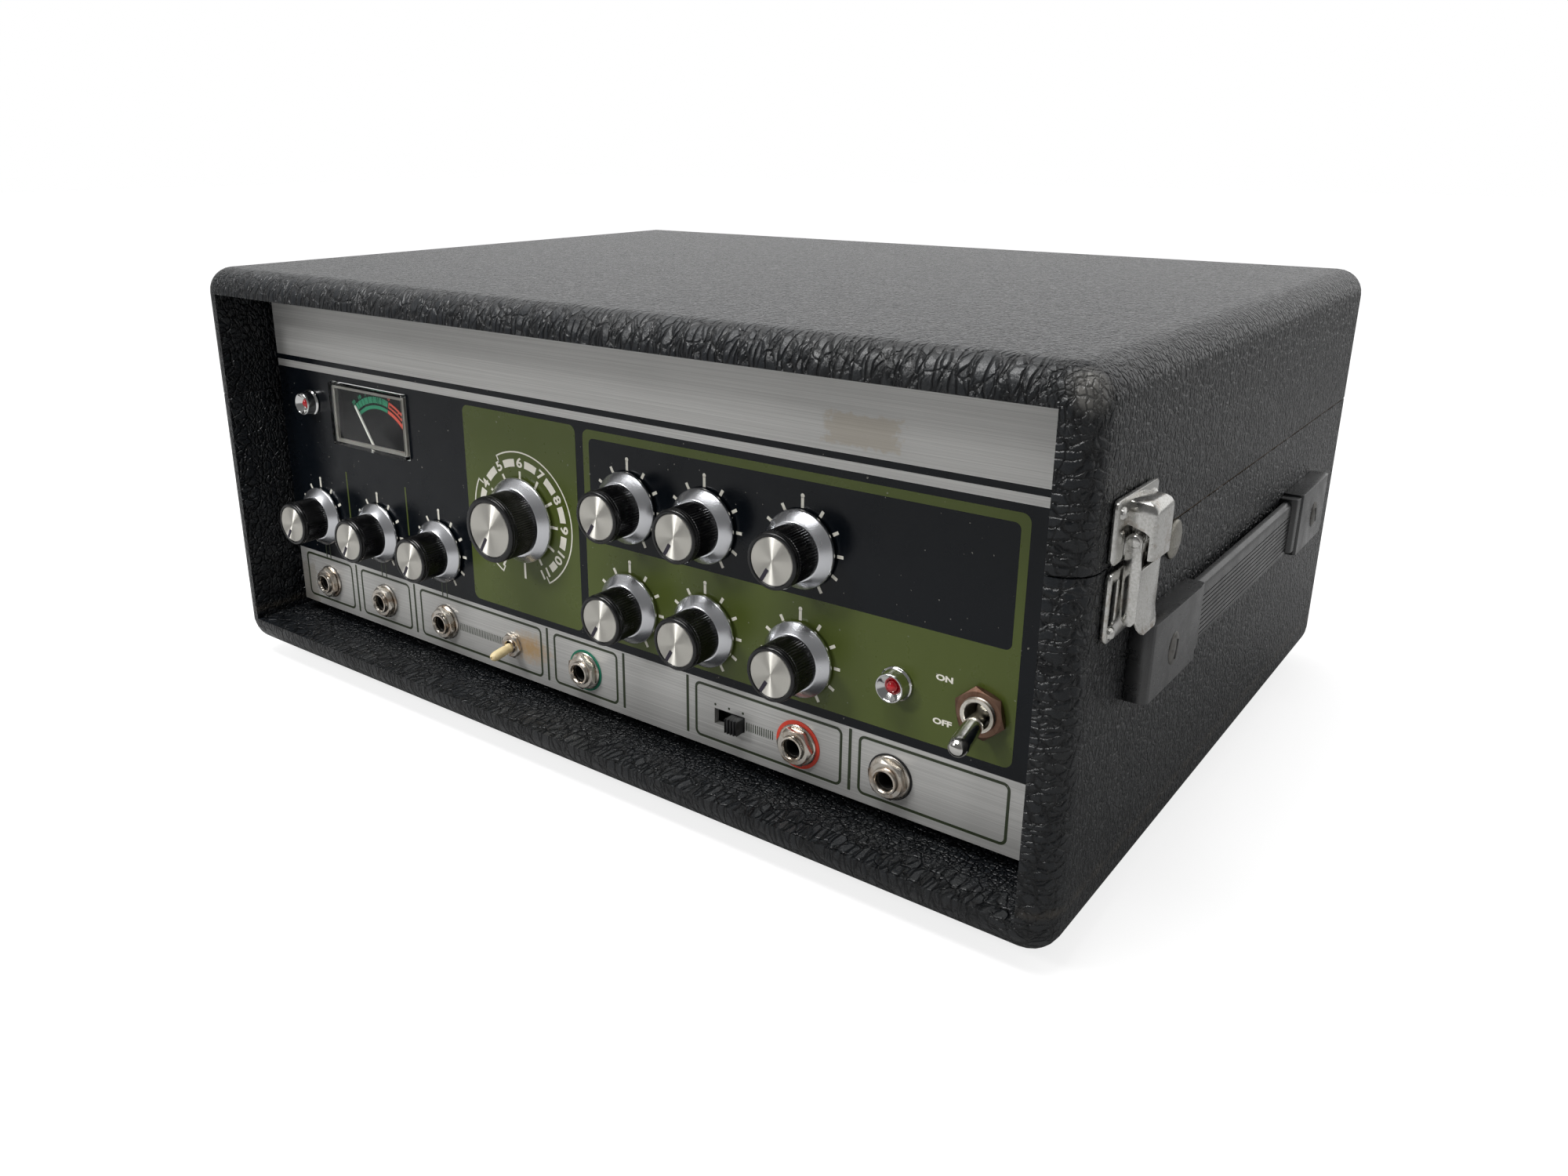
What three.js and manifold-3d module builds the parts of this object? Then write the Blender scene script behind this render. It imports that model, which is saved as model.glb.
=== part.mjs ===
// Tape echo unit: a leatherette covered wooden case with a lift-off lid, a recessed front panel
// with knobs, switches, jacks and a level meter, and a tape transport on a deck inside.
// Millimetres, +Z up, the front faces -Y, +X is right as seen from the front.
// The origin is the middle of the footprint, on the surface that the feet stand on.
import * as THREE from 'three';
import { RoundedBoxGeometry } from 'three/addons/geometries/RoundedBoxGeometry.js';
import { mergeVertices } from 'three/addons/utils/BufferGeometryUtils.js';
import Module from 'manifold-3d';

const wasm = await Module();
wasm.setup();

// Driving dimensions
const case_width = 415;
const case_depth = 310;
const case_height = 178;
const case_edge_radius = 11;
const side_wall = 16;
const floor_wall = 17;
const roof_wall = 16;
const back_wall = 16;
const foot_height = 7;
const seam_height = 121.6;
const panel_recess = 24;
const panel_thickness = 2.5;
const touch_gap = 0.3;
const running_gap = 0.35;
const cut_overrun = 2;
const round_sides = 20;
const small_round_sides = 12;
const edge_steps = 3;
const weld_distance = 0.0001;
const quarter_turn = Math.PI / 2;

// Places that follow from the case
const case_bottom = foot_height;
const case_top = case_bottom + case_height;
const seam_z = case_bottom + seam_height;
const floor_top = case_bottom + floor_wall;
const roof_under = case_top - roof_wall;
const inner_half_width = case_width / 2 - side_wall;
const front_y = -case_depth / 2;
const back_y = case_depth / 2;
const back_inner_y = back_y - back_wall;
const panel_y = front_y + panel_recess;
const panel_back_y = panel_y + panel_thickness;
const side_x = case_width / 2;
const panel_edge_gap = 0.5;
const panel_half_width = inner_half_width - panel_edge_gap;

const colours = {
  leatherette: [0x2b2c2f, 0.55, 0],
  aluminium: [0xb9bbbb, 0.35, 0.9],
  steel: [0x9b9da0, 0.4, 0.9],
  chrome: [0xc8c8c6, 0.2, 1],
  black_plastic: [0x18191b, 0.35, 0],
  rubber: [0x1c1c1c, 0.85, 0],
  clear: [0xdfe6e8, 0.05, 0],
  brass: [0xb59a58, 0.35, 1],
  circuit: [0x3c5a3a, 0.6, 0],
  nickel: [0xa9a59c, 0.3, 1],
  ivory: [0xd8c58c, 0.45, 0],
  tape: [0x4a3226, 0.4, 0],
  red: [0xa02018, 0.15, 0],
};

const unit = new THREE.Group();

// Turns a three.js geometry into a solid, with its shared points joined and flat triangles left out
function solid(geometry) {
  const plain = geometry.clone();
  plain.deleteAttribute('normal');
  plain.deleteAttribute('uv');
  const merged = mergeVertices(plain, weld_distance);
  const corners = Array.from(merged.index.array);
  const kept = [];
  for (let i = 0; i < corners.length; i += 3) {
    const [a, b, c] = corners.slice(i, i + 3);
    if (a !== b && b !== c && c !== a) kept.push(a, b, c);
  }
  const vertProperties = new Float32Array(merged.attributes.position.array);
  return new wasm.Manifold(new wasm.Mesh({ numProp: 3, vertProperties, triVerts: new Uint32Array(kept) }));
}

// Adds a named piece to the unit, at a place and turned about the upright
function piece(name, shape, colour, place = [0, 0, 0], turn = 0) {
  const data = shape.getMesh();
  const geometry = new THREE.BufferGeometry();
  geometry.setAttribute('position', new THREE.BufferAttribute(data.vertProperties, 3));
  geometry.setIndex(new THREE.BufferAttribute(data.triVerts, 1));
  geometry.computeVertexNormals();
  const [hex, roughness, metalness] = colours[colour];
  const material = new THREE.MeshStandardMaterial({ color: hex, roughness, metalness });
  const mesh = new THREE.Mesh(geometry, material);
  mesh.name = name;
  mesh.position.set(...place);
  mesh.rotation.z = turn;
  unit.add(mesh);
}

function box([x0, x1], [y0, y1], [z0, z1]) {
  const geometry = new THREE.BoxGeometry(x1 - x0, y1 - y0, z1 - z0);
  geometry.translate((x0 + x1) / 2, (y0 + y1) / 2, (z0 + z1) / 2);
  return solid(geometry);
}

// An upright cylinder
function post(x, y, radius, [z0, z1], sides = round_sides) {
  const geometry = new THREE.CylinderGeometry(radius, radius, z1 - z0, sides);
  geometry.rotateX(quarter_turn);
  geometry.translate(x, y, (z0 + z1) / 2);
  return solid(geometry);
}

// A cylinder that lies along Y
function bar_y(x, z, radius, [y0, y1], sides = round_sides) {
  const geometry = new THREE.CylinderGeometry(radius, radius, y1 - y0, sides);
  geometry.translate(x, (y0 + y1) / 2, z);
  return solid(geometry);
}

// A turned shape that points out of the front panel: its profile is in radius and height
function turned_front(profile, sides = round_sides) {
  const points = profile.map(([radius, out]) => new THREE.Vector2(radius, out));
  const geometry = new THREE.LatheGeometry(points, sides);
  geometry.rotateX(Math.PI);
  return solid(geometry);
}

// A turned shape that stands upright
function turned_up(profile, sides = round_sides) {
  const points = profile.map(([radius, up]) => new THREE.Vector2(radius, up));
  const geometry = new THREE.LatheGeometry(points, sides);
  geometry.rotateX(quarter_turn);
  return solid(geometry);
}

// An outline in x and z, extruded along Y
function slab_y(outline, [y0, y1]) {
  const shape = new THREE.Shape(outline.map(([x, z]) => new THREE.Vector2(x, z)));
  const geometry = new THREE.ExtrudeGeometry(shape, { depth: y1 - y0, bevelEnabled: false });
  geometry.rotateX(quarter_turn);
  geometry.translate(0, y1, 0);
  return solid(geometry);
}

// A flat shape in x and y, extruded upwards
function slab_up(shape, [z0, z1]) {
  const geometry = new THREE.ExtrudeGeometry(shape, { depth: z1 - z0, bevelEnabled: false });
  geometry.translate(0, 0, z0);
  return solid(geometry);
}

function join(shapes) {
  return shapes.reduce((total, shape) => total.add(shape));
}

function cut(shape, tools) {
  return tools.reduce((total, tool) => total.subtract(tool), shape);
}

// The height in the frame of something measured up from the bottom of the case
function up(height) {
  return case_bottom + height;
}

// Case: the lower case and the lid are one rounded box, sawn apart at the seam
const rear_opening_half_width = 150;
const rear_opening_low = 40;
const rear_opening_high = 105;

function case_block() {
  const geometry = new RoundedBoxGeometry(case_width, case_depth, case_height, edge_steps, case_edge_radius);
  geometry.translate(0, 0, case_bottom + case_height / 2);
  const inside = box(
    [-inner_half_width, inner_half_width],
    [front_y - cut_overrun, back_inner_y],
    [floor_top, roof_under],
  );
  return solid(geometry).subtract(inside);
}

function lower_case() {
  const above = box(
    [-case_width, case_width],
    [-case_depth, case_depth],
    [seam_z - touch_gap / 2, case_top + cut_overrun],
  );
  const rear_opening = box(
    [-rear_opening_half_width, rear_opening_half_width],
    [back_inner_y - cut_overrun, back_y + cut_overrun],
    [up(rear_opening_low), up(rear_opening_high)],
  );
  return cut(case_block(), [above, rear_opening]);
}

function upper_lid() {
  const below = box(
    [-case_width, case_width],
    [-case_depth, case_depth],
    [case_bottom - cut_overrun, seam_z + touch_gap / 2],
  );
  return case_block().subtract(below);
}

piece('lower_case', lower_case(), 'leatherette');
piece('upper_lid', upper_lid(), 'leatherette');

// Feet: four rubber buttons under the corners of the floor
const foot_radius = 11;
const foot_inset = 30;

for (const [side, right] of [['left', -1], ['right', 1]]) {
  for (const [end, back] of [['front', -1], ['rear', 1]]) {
    const x = right * (case_width / 2 - foot_inset);
    const y = back * (case_depth / 2 - foot_inset);
    const foot_top = foot_height - touch_gap;
    const foot = turned_up([[0, 0], [foot_radius, 0], [foot_radius, foot_top], [0, foot_top]]);
    piece(`foot_${end}_${side}`, foot, 'rubber', [x, y, 0]);
  }
}

// Front panel: where each control goes through it, its x as a share of the panel's half width and
// its row measured up from the bottom of the case
const control_x_shares = {
  mic_1: -0.87958,
  mic_2: -0.65969,
  meter: -0.65864,
  instrument: -0.43979,
  pad_switch: -0.2199,
  mode: -0.16702,
  bass: 0.13246,
  treble: 0.32094,
  slide_switch: 0.37801,
  volume: 0.53613,
  foot_jack: 0.73037,
  power_lamp: 0.73455,
  power_switch: 0.89267,
};
const mic_1_x = control_x_shares.mic_1 * panel_half_width;
const mic_2_x = control_x_shares.mic_2 * panel_half_width;
const meter_x = control_x_shares.meter * panel_half_width;
const instrument_x = control_x_shares.instrument * panel_half_width;
const pad_switch_x = control_x_shares.pad_switch * panel_half_width;
const mode_x = control_x_shares.mode * panel_half_width;
const centre_jack_x = 0;
const bass_x = control_x_shares.bass * panel_half_width;
const treble_x = control_x_shares.treble * panel_half_width;
const slide_switch_x = control_x_shares.slide_switch * panel_half_width;
const volume_x = control_x_shares.volume * panel_half_width;
const foot_jack_x = control_x_shares.foot_jack * panel_half_width;
const power_lamp_x = control_x_shares.power_lamp * panel_half_width;
const power_switch_x = control_x_shares.power_switch * panel_half_width;
const upper_row = 103.5;
const lower_row = 63.9;
const mode_row = 87.8;
const jack_row = 31;
const peak_lamp_row = 118;
const power_lamp_row = 65.3;
const power_switch_row = 64.3;

// Knobs: an aluminium skirt, a knurled grip and a cap, turned in one with the shaft
const small_knob = { skirt: 13.8, skirt_edge: 10, grip: 9.8, cap: 8.6, height: 17.5 };
const mode_knob = { skirt: 17.5, skirt_edge: 13.6, grip: 13.3, cap: 11.2, height: 17.8 };
const skirt_lift = 0.7;
const skirt_rim = 1.9;
const skirt_height = 5.2;
const grip_edge = 1.2;
const shaft_radius = 3;
const pot_radius = 8;
const pot_depth = 9;
const pot_gap = 0.6;
const shaft_reach = panel_thickness + pot_gap + pot_depth - touch_gap;
const pointer_width = 1.6;
const pointer_rise = 0.5;
const pointer_rest = THREE.MathUtils.degToRad(150);

const knobs = [
  ['knob_mic_1', mic_1_x, lower_row, small_knob],
  ['knob_mic_2', mic_2_x, lower_row, small_knob],
  ['knob_instrument', instrument_x, lower_row, small_knob],
  ['knob_mode', mode_x, mode_row, mode_knob],
  ['knob_bass', bass_x, upper_row, small_knob],
  ['knob_treble', treble_x, upper_row, small_knob],
  ['knob_reverb_volume', volume_x, upper_row, small_knob],
  ['knob_repeat_rate', bass_x, lower_row, small_knob],
  ['knob_intensity', treble_x, lower_row, small_knob],
  ['knob_echo_volume', volume_x, lower_row, small_knob],
];

function knob(size) {
  const body = turned_front([
    [0, -shaft_reach],
    [shaft_radius, -shaft_reach],
    [shaft_radius, skirt_lift],
    [size.skirt, skirt_lift],
    [size.skirt, skirt_lift + skirt_rim],
    [size.skirt_edge, skirt_height],
    [size.grip, skirt_height],
    [size.grip, size.height - grip_edge],
    [size.cap, size.height],
    [0, size.height],
  ]);
  // The pointer stands at seven o'clock as seen from the front
  const pointer = box(
    [-pointer_width / 2, pointer_width / 2],
    [-size.height - pointer_rise, -size.height + pointer_rise],
    [size.grip / 2, size.cap],
  );
  return body.add(pointer.rotate([0, -THREE.MathUtils.radToDeg(pointer_rest), 0]));
}

for (const [name, x, row, size] of knobs) {
  piece(name, knob(size), 'black_plastic', [x, panel_y, up(row)]);
}

// Level meter: a body behind the panel with a dial, a needle on a pivot and a clear cover
const meter_width = 51.4;
const meter_height = 28.4;
const meter_row = 115.5;
const meter_rise = 2.1;
const meter_wall = 1.2;
const meter_body_depth = 24;
const meter_body_wall = 1.6;
const meter_body_width = 53;
const meter_body_low = 91;
const meter_body_high = 131;
const dial_depth = 4.5;
const pivot_row = 98.2;
const needle_length = 26;
const needle_tail = 4;
const needle_width = 0.9;
const needle_thickness = 0.7;
const needle_hub_radius = 2;
const pivot_pin_radius = 0.8;
const needle_rest = 35;

const dial_y = panel_y + dial_depth;
const meter_body_front_y = panel_back_y + touch_gap;

function meter_body() {
  const outer = box(
    [-meter_body_width / 2, meter_body_width / 2],
    [meter_body_front_y, meter_body_front_y + meter_body_depth],
    [up(meter_body_low), up(meter_body_high)],
  );
  const pocket = box(
    [-meter_body_width / 2 + meter_body_wall, meter_body_width / 2 - meter_body_wall],
    [meter_body_front_y - cut_overrun, dial_y],
    [up(meter_body_low) + meter_body_wall, up(meter_body_high) - meter_body_wall],
  );
  const pin_y = [meter_body_front_y, dial_y + meter_body_wall];
  const pin = bar_y(0, up(pivot_row), pivot_pin_radius, pin_y, small_round_sides);
  return outer.subtract(pocket).add(pin);
}

function meter_needle() {
  const y0 = dial_y - touch_gap - needle_thickness;
  const y1 = dial_y - touch_gap;
  const arm = box([-needle_width / 2, needle_width / 2], [y0, y1], [-needle_tail, needle_length]);
  const hub = bar_y(0, 0, needle_hub_radius, [y0, y1], small_round_sides);
  const bore_y = [y0 - cut_overrun, y1 + cut_overrun];
  const bore = bar_y(0, 0, pivot_pin_radius + running_gap, bore_y, small_round_sides);
  return arm.add(hub).subtract(bore).rotate([0, -needle_rest, 0]);
}

function meter_cover() {
  const outer = box(
    [-meter_width / 2, meter_width / 2],
    [panel_y - meter_rise, panel_back_y],
    [-meter_height / 2, meter_height / 2],
  );
  const hollow = box(
    [-meter_width / 2 + meter_wall, meter_width / 2 - meter_wall],
    [panel_y - meter_rise + meter_wall, panel_back_y + cut_overrun],
    [-meter_height / 2 + meter_wall, meter_height / 2 - meter_wall],
  );
  return outer.subtract(hollow);
}

piece('meter_body', meter_body(), 'black_plastic', [meter_x, 0, 0]);
piece('meter_needle', meter_needle(), 'aluminium', [meter_x, 0, up(pivot_row)]);
piece('meter_cover', meter_cover(), 'clear', [meter_x, 0, up(meter_row)]);

// Control board: the sheet behind the panel that carries the potentiometers and the rotary switch
const board_thickness = 1.6;
const board_margin = 4;
const board_front_y = panel_back_y + pot_gap + pot_depth;
const board_low = lower_row - pot_radius - board_margin;
const board_high = upper_row + pot_radius + board_margin;

function control_board() {
  const board = box(
    [mic_1_x - pot_radius - board_margin, volume_x + pot_radius + board_margin],
    [board_front_y - touch_gap, board_front_y + board_thickness],
    [up(board_low), up(board_high)],
  );
  const meter_notch = box(
    [mic_1_x - pot_radius - board_margin - cut_overrun, meter_x + meter_body_width / 2 + board_margin],
    [board_front_y - cut_overrun, board_front_y + board_thickness + cut_overrun],
    [up(meter_body_low) - board_margin, up(board_high) + cut_overrun],
  );
  const pots = knobs.map(([, x, row]) => {
    const can = bar_y(x, up(row), pot_radius, [panel_back_y + pot_gap, board_front_y], small_round_sides);
    const bore = bar_y(x, up(row), shaft_radius + running_gap, [panel_back_y, board_front_y - touch_gap]);
    return [can, bore];
  });
  const body = join([board, ...pots.map(([can]) => can)]);
  return cut(body, [meter_notch, ...pots.map(([, bore]) => bore)]);
}

piece('control_board', control_board(), 'circuit');

// Lamps: a turned bezel with a conical reflector, held in the panel
const lamp_barrel = 4.6;
const lamp_flange = 5.8;
const lamp_flange_height = 1.2;
const lamp_bezel = 5;
const lamp_height = 5.5;
const lamp_lip = 0.7;
const lamp_lens = 2.4;
const lamp_lens_height = 2.2;
const lamp_depth = 14;

function lamp() {
  return turned_front([
    [0, -lamp_depth],
    [lamp_barrel, -lamp_depth],
    [lamp_barrel, touch_gap],
    [lamp_flange, touch_gap],
    [lamp_flange, lamp_flange_height],
    [lamp_bezel, lamp_flange_height],
    [lamp_bezel, lamp_height],
    [lamp_bezel - lamp_lip, lamp_height],
    [lamp_lens, lamp_lens_height],
    [0, lamp_lens_height],
  ]);
}

piece('peak_lamp', lamp(), 'red', [mic_1_x, panel_y, up(peak_lamp_row)]);
piece('power_lamp', lamp(), 'red', [power_lamp_x, panel_y, up(power_lamp_row)]);

// Toggle switches: a body behind the panel, a bushing with its nut in front, and a lever on a ball
const power_toggle = {
  bushing: 5.9,
  nut_across: 15.5,
  nut_height: 2.4,
  bushing_height: 4,
  ball: 3,
  neck: 1.5,
  tip: 3.1,
  reach: 19,
  body_width: 17,
  body_height: 28,
  body_depth: 22,
  rest: 18,
};
const pad_toggle = {
  bushing: 3.1,
  nut_across: 9.5,
  nut_height: 1.6,
  bushing_height: 2.6,
  ball: 1.7,
  neck: 0.9,
  tip: 2,
  reach: 12.6,
  body_width: 8,
  body_height: 13,
  body_depth: 12,
  rest: 8,
};
const bushing_wall = 0.8;
const ball_turn = THREE.MathUtils.degToRad(144);
const tip_start = THREE.MathUtils.degToRad(-36);

function hexagon_bar(across, [y0, y1]) {
  return bar_y(0, 0, across / Math.sqrt(3), [y0, y1], 6);
}

function toggle_body(size) {
  const box_front = panel_back_y + touch_gap;
  const can = box(
    [-size.body_width / 2, size.body_width / 2],
    [box_front, box_front + size.body_depth],
    [-size.body_height / 2, size.body_height / 2],
  );
  const bushing = bar_y(0, 0, size.bushing, [panel_y - size.bushing_height, box_front + cut_overrun]);
  const nut = hexagon_bar(size.nut_across, [panel_y - size.nut_height - touch_gap, panel_y - touch_gap]);
  const room = size.ball + running_gap;
  const mouth = size.bushing - bushing_wall;
  const well = turned_front([
    [0, -panel_thickness - room],
    [room, -panel_thickness - room],
    [room, -panel_thickness],
    [mouth, size.bushing_height],
    [mouth, size.bushing_height + cut_overrun],
    [0, size.bushing_height + cut_overrun],
  ]);
  return join([can, bushing, nut]).subtract(well.translate([0, panel_y, 0]));
}

function toggle_lever(size) {
  const ball_points = [];
  const ball_steps = 5;
  for (let i = 0; i <= ball_steps; i += 1) {
    const angle = -quarter_turn + (i * ball_turn) / ball_steps;
    ball_points.push([size.ball * Math.cos(angle), size.ball * Math.sin(angle)]);
  }
  ball_points[0][0] = 0;
  const out = size.reach + panel_thickness;
  const tip_middle = out - size.tip;
  const tip_points = [];
  for (let i = 1; i <= ball_steps; i += 1) {
    const angle = tip_start + (i * (quarter_turn - tip_start)) / ball_steps;
    tip_points.push([size.tip * Math.cos(angle), tip_middle + size.tip * Math.sin(angle)]);
  }
  tip_points[tip_points.length - 1][0] = 0;
  const neck_point = [size.neck, size.ball + size.neck];
  const lever = turned_front([...ball_points, neck_point, ...tip_points], small_round_sides);
  return lever.rotate([size.rest, 0, 0]);
}

piece('power_switch_body', toggle_body(power_toggle), 'steel', [power_switch_x, 0, up(power_switch_row)]);
const power_pivot = [power_switch_x, panel_back_y, up(power_switch_row)];
piece('power_switch_lever', toggle_lever(power_toggle), 'chrome', power_pivot);
piece('pad_switch_body', toggle_body(pad_toggle), 'steel', [pad_switch_x, 0, up(jack_row)]);
piece('pad_switch_lever', toggle_lever(pad_toggle), 'ivory', [pad_switch_x, panel_back_y, up(jack_row)]);

// Slide switch: a body behind a slot, and a ribbed button that travels along the slot
const slot_width = 13.8;
const slot_height = 6.2;
const button_width = 5.4;
const button_height = 5.6;
const button_rise = 5;
const slide_body_width = 24;
const slide_body_height = 10;
const slide_body_depth = 9;
const slide_track_depth = 4;
const rib_count = 3;
const rib_depth = 0.6;

function slide_body() {
  const front = panel_back_y + touch_gap;
  const can = box(
    [-slide_body_width / 2, slide_body_width / 2],
    [front, front + slide_body_depth],
    [-slide_body_height / 2, slide_body_height / 2],
  );
  const track = box(
    [-slot_width / 2, slot_width / 2],
    [front - cut_overrun, front + slide_track_depth],
    [-slot_height / 2, slot_height / 2],
  );
  return can.subtract(track);
}

// The button waits at the right end of its slot
const button_x = slide_switch_x + slot_width / 2 - touch_gap - button_width / 2;

function slide_button() {
  const foot_y = panel_back_y + touch_gap + slide_track_depth - touch_gap;
  const top_y = panel_y - button_rise;
  const button = box(
    [-button_width / 2, button_width / 2],
    [top_y, foot_y],
    [-button_height / 2, button_height / 2],
  );
  const pitch = button_width / (rib_count * 2 - 1);
  const grooves = [];
  for (let i = 1; i < rib_count; i += 1) {
    const left = -button_width / 2 + (2 * i - 1) * pitch;
    const groove_y = [top_y - cut_overrun, top_y + rib_depth];
    grooves.push(box([left, left + pitch], groove_y, [-button_height, button_height]));
  }
  return cut(button, grooves);
}

piece('slide_switch_body', slide_body(), 'black_plastic', [slide_switch_x, 0, up(jack_row)]);
piece('slide_switch_button', slide_button(), 'black_plastic', [button_x, 0, up(jack_row)]);

// Jacks: a threaded tube with its nut and washer, and the socket's body behind the panel
const jack_bore = 3.2;
const jack_tube = 4.75;
const jack_rise = 4.8;
const jack_nut_across = 12.7;
const jack_nut_height = 2.4;
const jack_washer = 7.8;
const jack_washer_height = 0.8;
const jack_body = 8.5;
const jack_depth = 26;
const jack_bore_depth = 30;

const jacks = [
  ['jack_mic_1', mic_1_x],
  ['jack_mic_2', mic_2_x],
  ['jack_instrument', instrument_x],
  ['jack_output', centre_jack_x],
  ['jack_footswitch_1', volume_x],
  ['jack_footswitch_2', foot_jack_x],
];

function jack() {
  const turned = turned_front([
    [0, -jack_depth],
    [jack_body, -jack_depth],
    [jack_body, -panel_thickness - touch_gap],
    [jack_tube, -panel_thickness - touch_gap],
    [jack_tube, touch_gap],
    [jack_washer, touch_gap],
    [jack_washer, touch_gap + jack_washer_height],
    [jack_tube, touch_gap + jack_washer_height],
    [jack_tube, jack_rise],
    [0, jack_rise],
  ]);
  const nut_foot = touch_gap + jack_washer_height;
  const nut = hexagon_bar(jack_nut_across, [-nut_foot - jack_nut_height, -nut_foot]);
  const bore = bar_y(0, 0, jack_bore, [-jack_rise - cut_overrun, jack_bore_depth - jack_rise - cut_overrun]);
  return turned.add(nut).subtract(bore);
}

for (const [name, x] of jacks) {
  piece(name, jack(), 'nickel', [x, panel_y, up(jack_row)]);
}

// Front panel: one sheet with a hole for each control
function panel_hole(x, row, radius, sides = small_round_sides) {
  return bar_y(x, up(row), radius, [panel_y - cut_overrun, panel_back_y + cut_overrun], sides);
}

function panel_window(x, row, width, height) {
  return box(
    [x - width / 2, x + width / 2],
    [panel_y - cut_overrun, panel_back_y + cut_overrun],
    [up(row) - height / 2, up(row) + height / 2],
  );
}

function front_panel() {
  const sheet = box(
    [-panel_half_width, panel_half_width],
    [panel_y, panel_back_y],
    [floor_top + panel_edge_gap, roof_under - panel_edge_gap],
  );
  return cut(sheet, [
    ...knobs.map(([, x, row]) => panel_hole(x, row, shaft_radius + running_gap)),
    ...jacks.map(([, x]) => panel_hole(x, jack_row, jack_tube + touch_gap)),
    panel_hole(mic_1_x, peak_lamp_row, lamp_barrel + touch_gap),
    panel_hole(power_lamp_x, power_lamp_row, lamp_barrel + touch_gap),
    panel_hole(power_switch_x, power_switch_row, power_toggle.bushing + touch_gap),
    panel_hole(pad_switch_x, jack_row, pad_toggle.bushing + touch_gap),
    panel_window(slide_switch_x, jack_row, slot_width, slot_height),
    panel_window(meter_x, meter_row, meter_width + 2 * touch_gap, meter_height + 2 * touch_gap),
  ]);
}

piece('front_panel', front_panel(), 'aluminium');

// Rear panel: a steel sheet behind the opening in the back wall, with vents and a cord gland
const rear_panel_overlap = 8;
const rear_panel_thickness = 1.5;
const rear_panel_y = back_inner_y - touch_gap - rear_panel_thickness;
const vent_count = 9;
const vent_width = 3;
const vent_height = 32;
const vent_pitch = 9;
const vent_inset = 60;
const vent_x = vent_inset - rear_opening_half_width;
const gland_inset = 32;
const gland_x = rear_opening_half_width - gland_inset;
const gland_row = 62;
const gland_radius = 8;
const gland_flange = 11;
const gland_flange_height = 2.5;
const gland_rise = 12;
const gland_bore = 3.6;
const rear_row = (rear_opening_low + rear_opening_high) / 2;

function rear_panel() {
  const half_width = rear_opening_half_width + rear_panel_overlap;
  const sheet = box(
    [-half_width, half_width],
    [rear_panel_y, rear_panel_y + rear_panel_thickness],
    [up(rear_opening_low - rear_panel_overlap), up(rear_opening_high + rear_panel_overlap)],
  );
  const through = [rear_panel_y - cut_overrun, back_inner_y + cut_overrun];
  const vents = [];
  for (let i = 0; i < vent_count; i += 1) {
    const x = vent_x + (i - (vent_count - 1) / 2) * vent_pitch;
    const z = [up(rear_row) - vent_height / 2, up(rear_row) + vent_height / 2];
    vents.push(box([x - vent_width / 2, x + vent_width / 2], through, z));
  }
  const gland_hole = bar_y(gland_x, up(gland_row), gland_radius + touch_gap, through);
  return cut(sheet, [...vents, gland_hole]);
}

function cord_gland() {
  const inner_y = rear_panel_y - gland_flange_height;
  const outer_y = rear_panel_y + rear_panel_thickness;
  const barrel = bar_y(0, 0, gland_radius, [inner_y, outer_y + gland_flange_height]);
  const flange_y = outer_y + touch_gap;
  const flange = bar_y(0, 0, gland_flange, [flange_y, flange_y + gland_flange_height]);
  const nose = bar_y(0, 0, gland_radius, [flange_y, outer_y + gland_rise]);
  const bore = bar_y(0, 0, gland_bore, [inner_y - cut_overrun, outer_y + gland_rise + cut_overrun]);
  return join([barrel, flange, nose]).subtract(bore);
}

piece('rear_panel', rear_panel(), 'steel');
piece('cord_gland', cord_gland(), 'rubber', [gland_x, 0, up(gland_row)]);

// Handle on the right side: a flat strap whose ends run into two caps, each held by a screw
const handle_front_inset = 40;
const handle_rear_inset = 55;
const handle_front_y = front_y + handle_front_inset;
const handle_rear_y = back_y - handle_rear_inset;
const handle_row = 85.5;
const cap_length = 50;
const cap_height = 25;
const cap_rise = 7.4;
const cap_slope = 13;
const cap_nose = 4;
const cap_edge = 2.2;
const strap_width = 21.5;
const strap_rise = 4.7;
const strap_thickness = 3;
const strap_in_cap = 30;
const strap_room = 0.4;

// Built with its length along +X and its height along +Z, the base on z = 0, then turned into place
function handle_cap() {
  const outline = [
    [0, touch_gap],
    [cap_length, touch_gap],
    [cap_length, strap_rise + cap_edge / 2],
    [cap_length - cap_slope, cap_rise],
    [cap_nose, cap_rise],
    [0, cap_rise - cap_nose],
  ];
  const body = slab_y(outline, [-cap_height / 2, cap_height / 2]);
  const pocket = box(
    [cap_length - strap_in_cap - strap_room, cap_length + cut_overrun],
    [-strap_width / 2 - strap_room, strap_width / 2 + strap_room],
    [strap_rise - strap_thickness - strap_room, strap_rise + strap_room],
  );
  return body.subtract(pocket);
}

function handle_strap() {
  const y0 = handle_front_y + cap_length - strap_in_cap;
  const y1 = handle_rear_y - cap_length + strap_in_cap;
  return box(
    [side_x + strap_rise - strap_thickness, side_x + strap_rise],
    [y0, y1],
    [up(handle_row) - strap_width / 2, up(handle_row) + strap_width / 2],
  );
}

piece('handle_strap', handle_strap(), 'black_plastic');
const cap_front_place = [side_x, handle_front_y, up(handle_row)];
const cap_rear_place = [side_x, handle_rear_y, up(handle_row)];
piece('handle_cap_front', handle_cap().rotate([90, 0, 90]), 'black_plastic', cap_front_place);
piece('handle_cap_rear', handle_cap().rotate([-90, 0, -90]), 'black_plastic', cap_rear_place);

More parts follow.
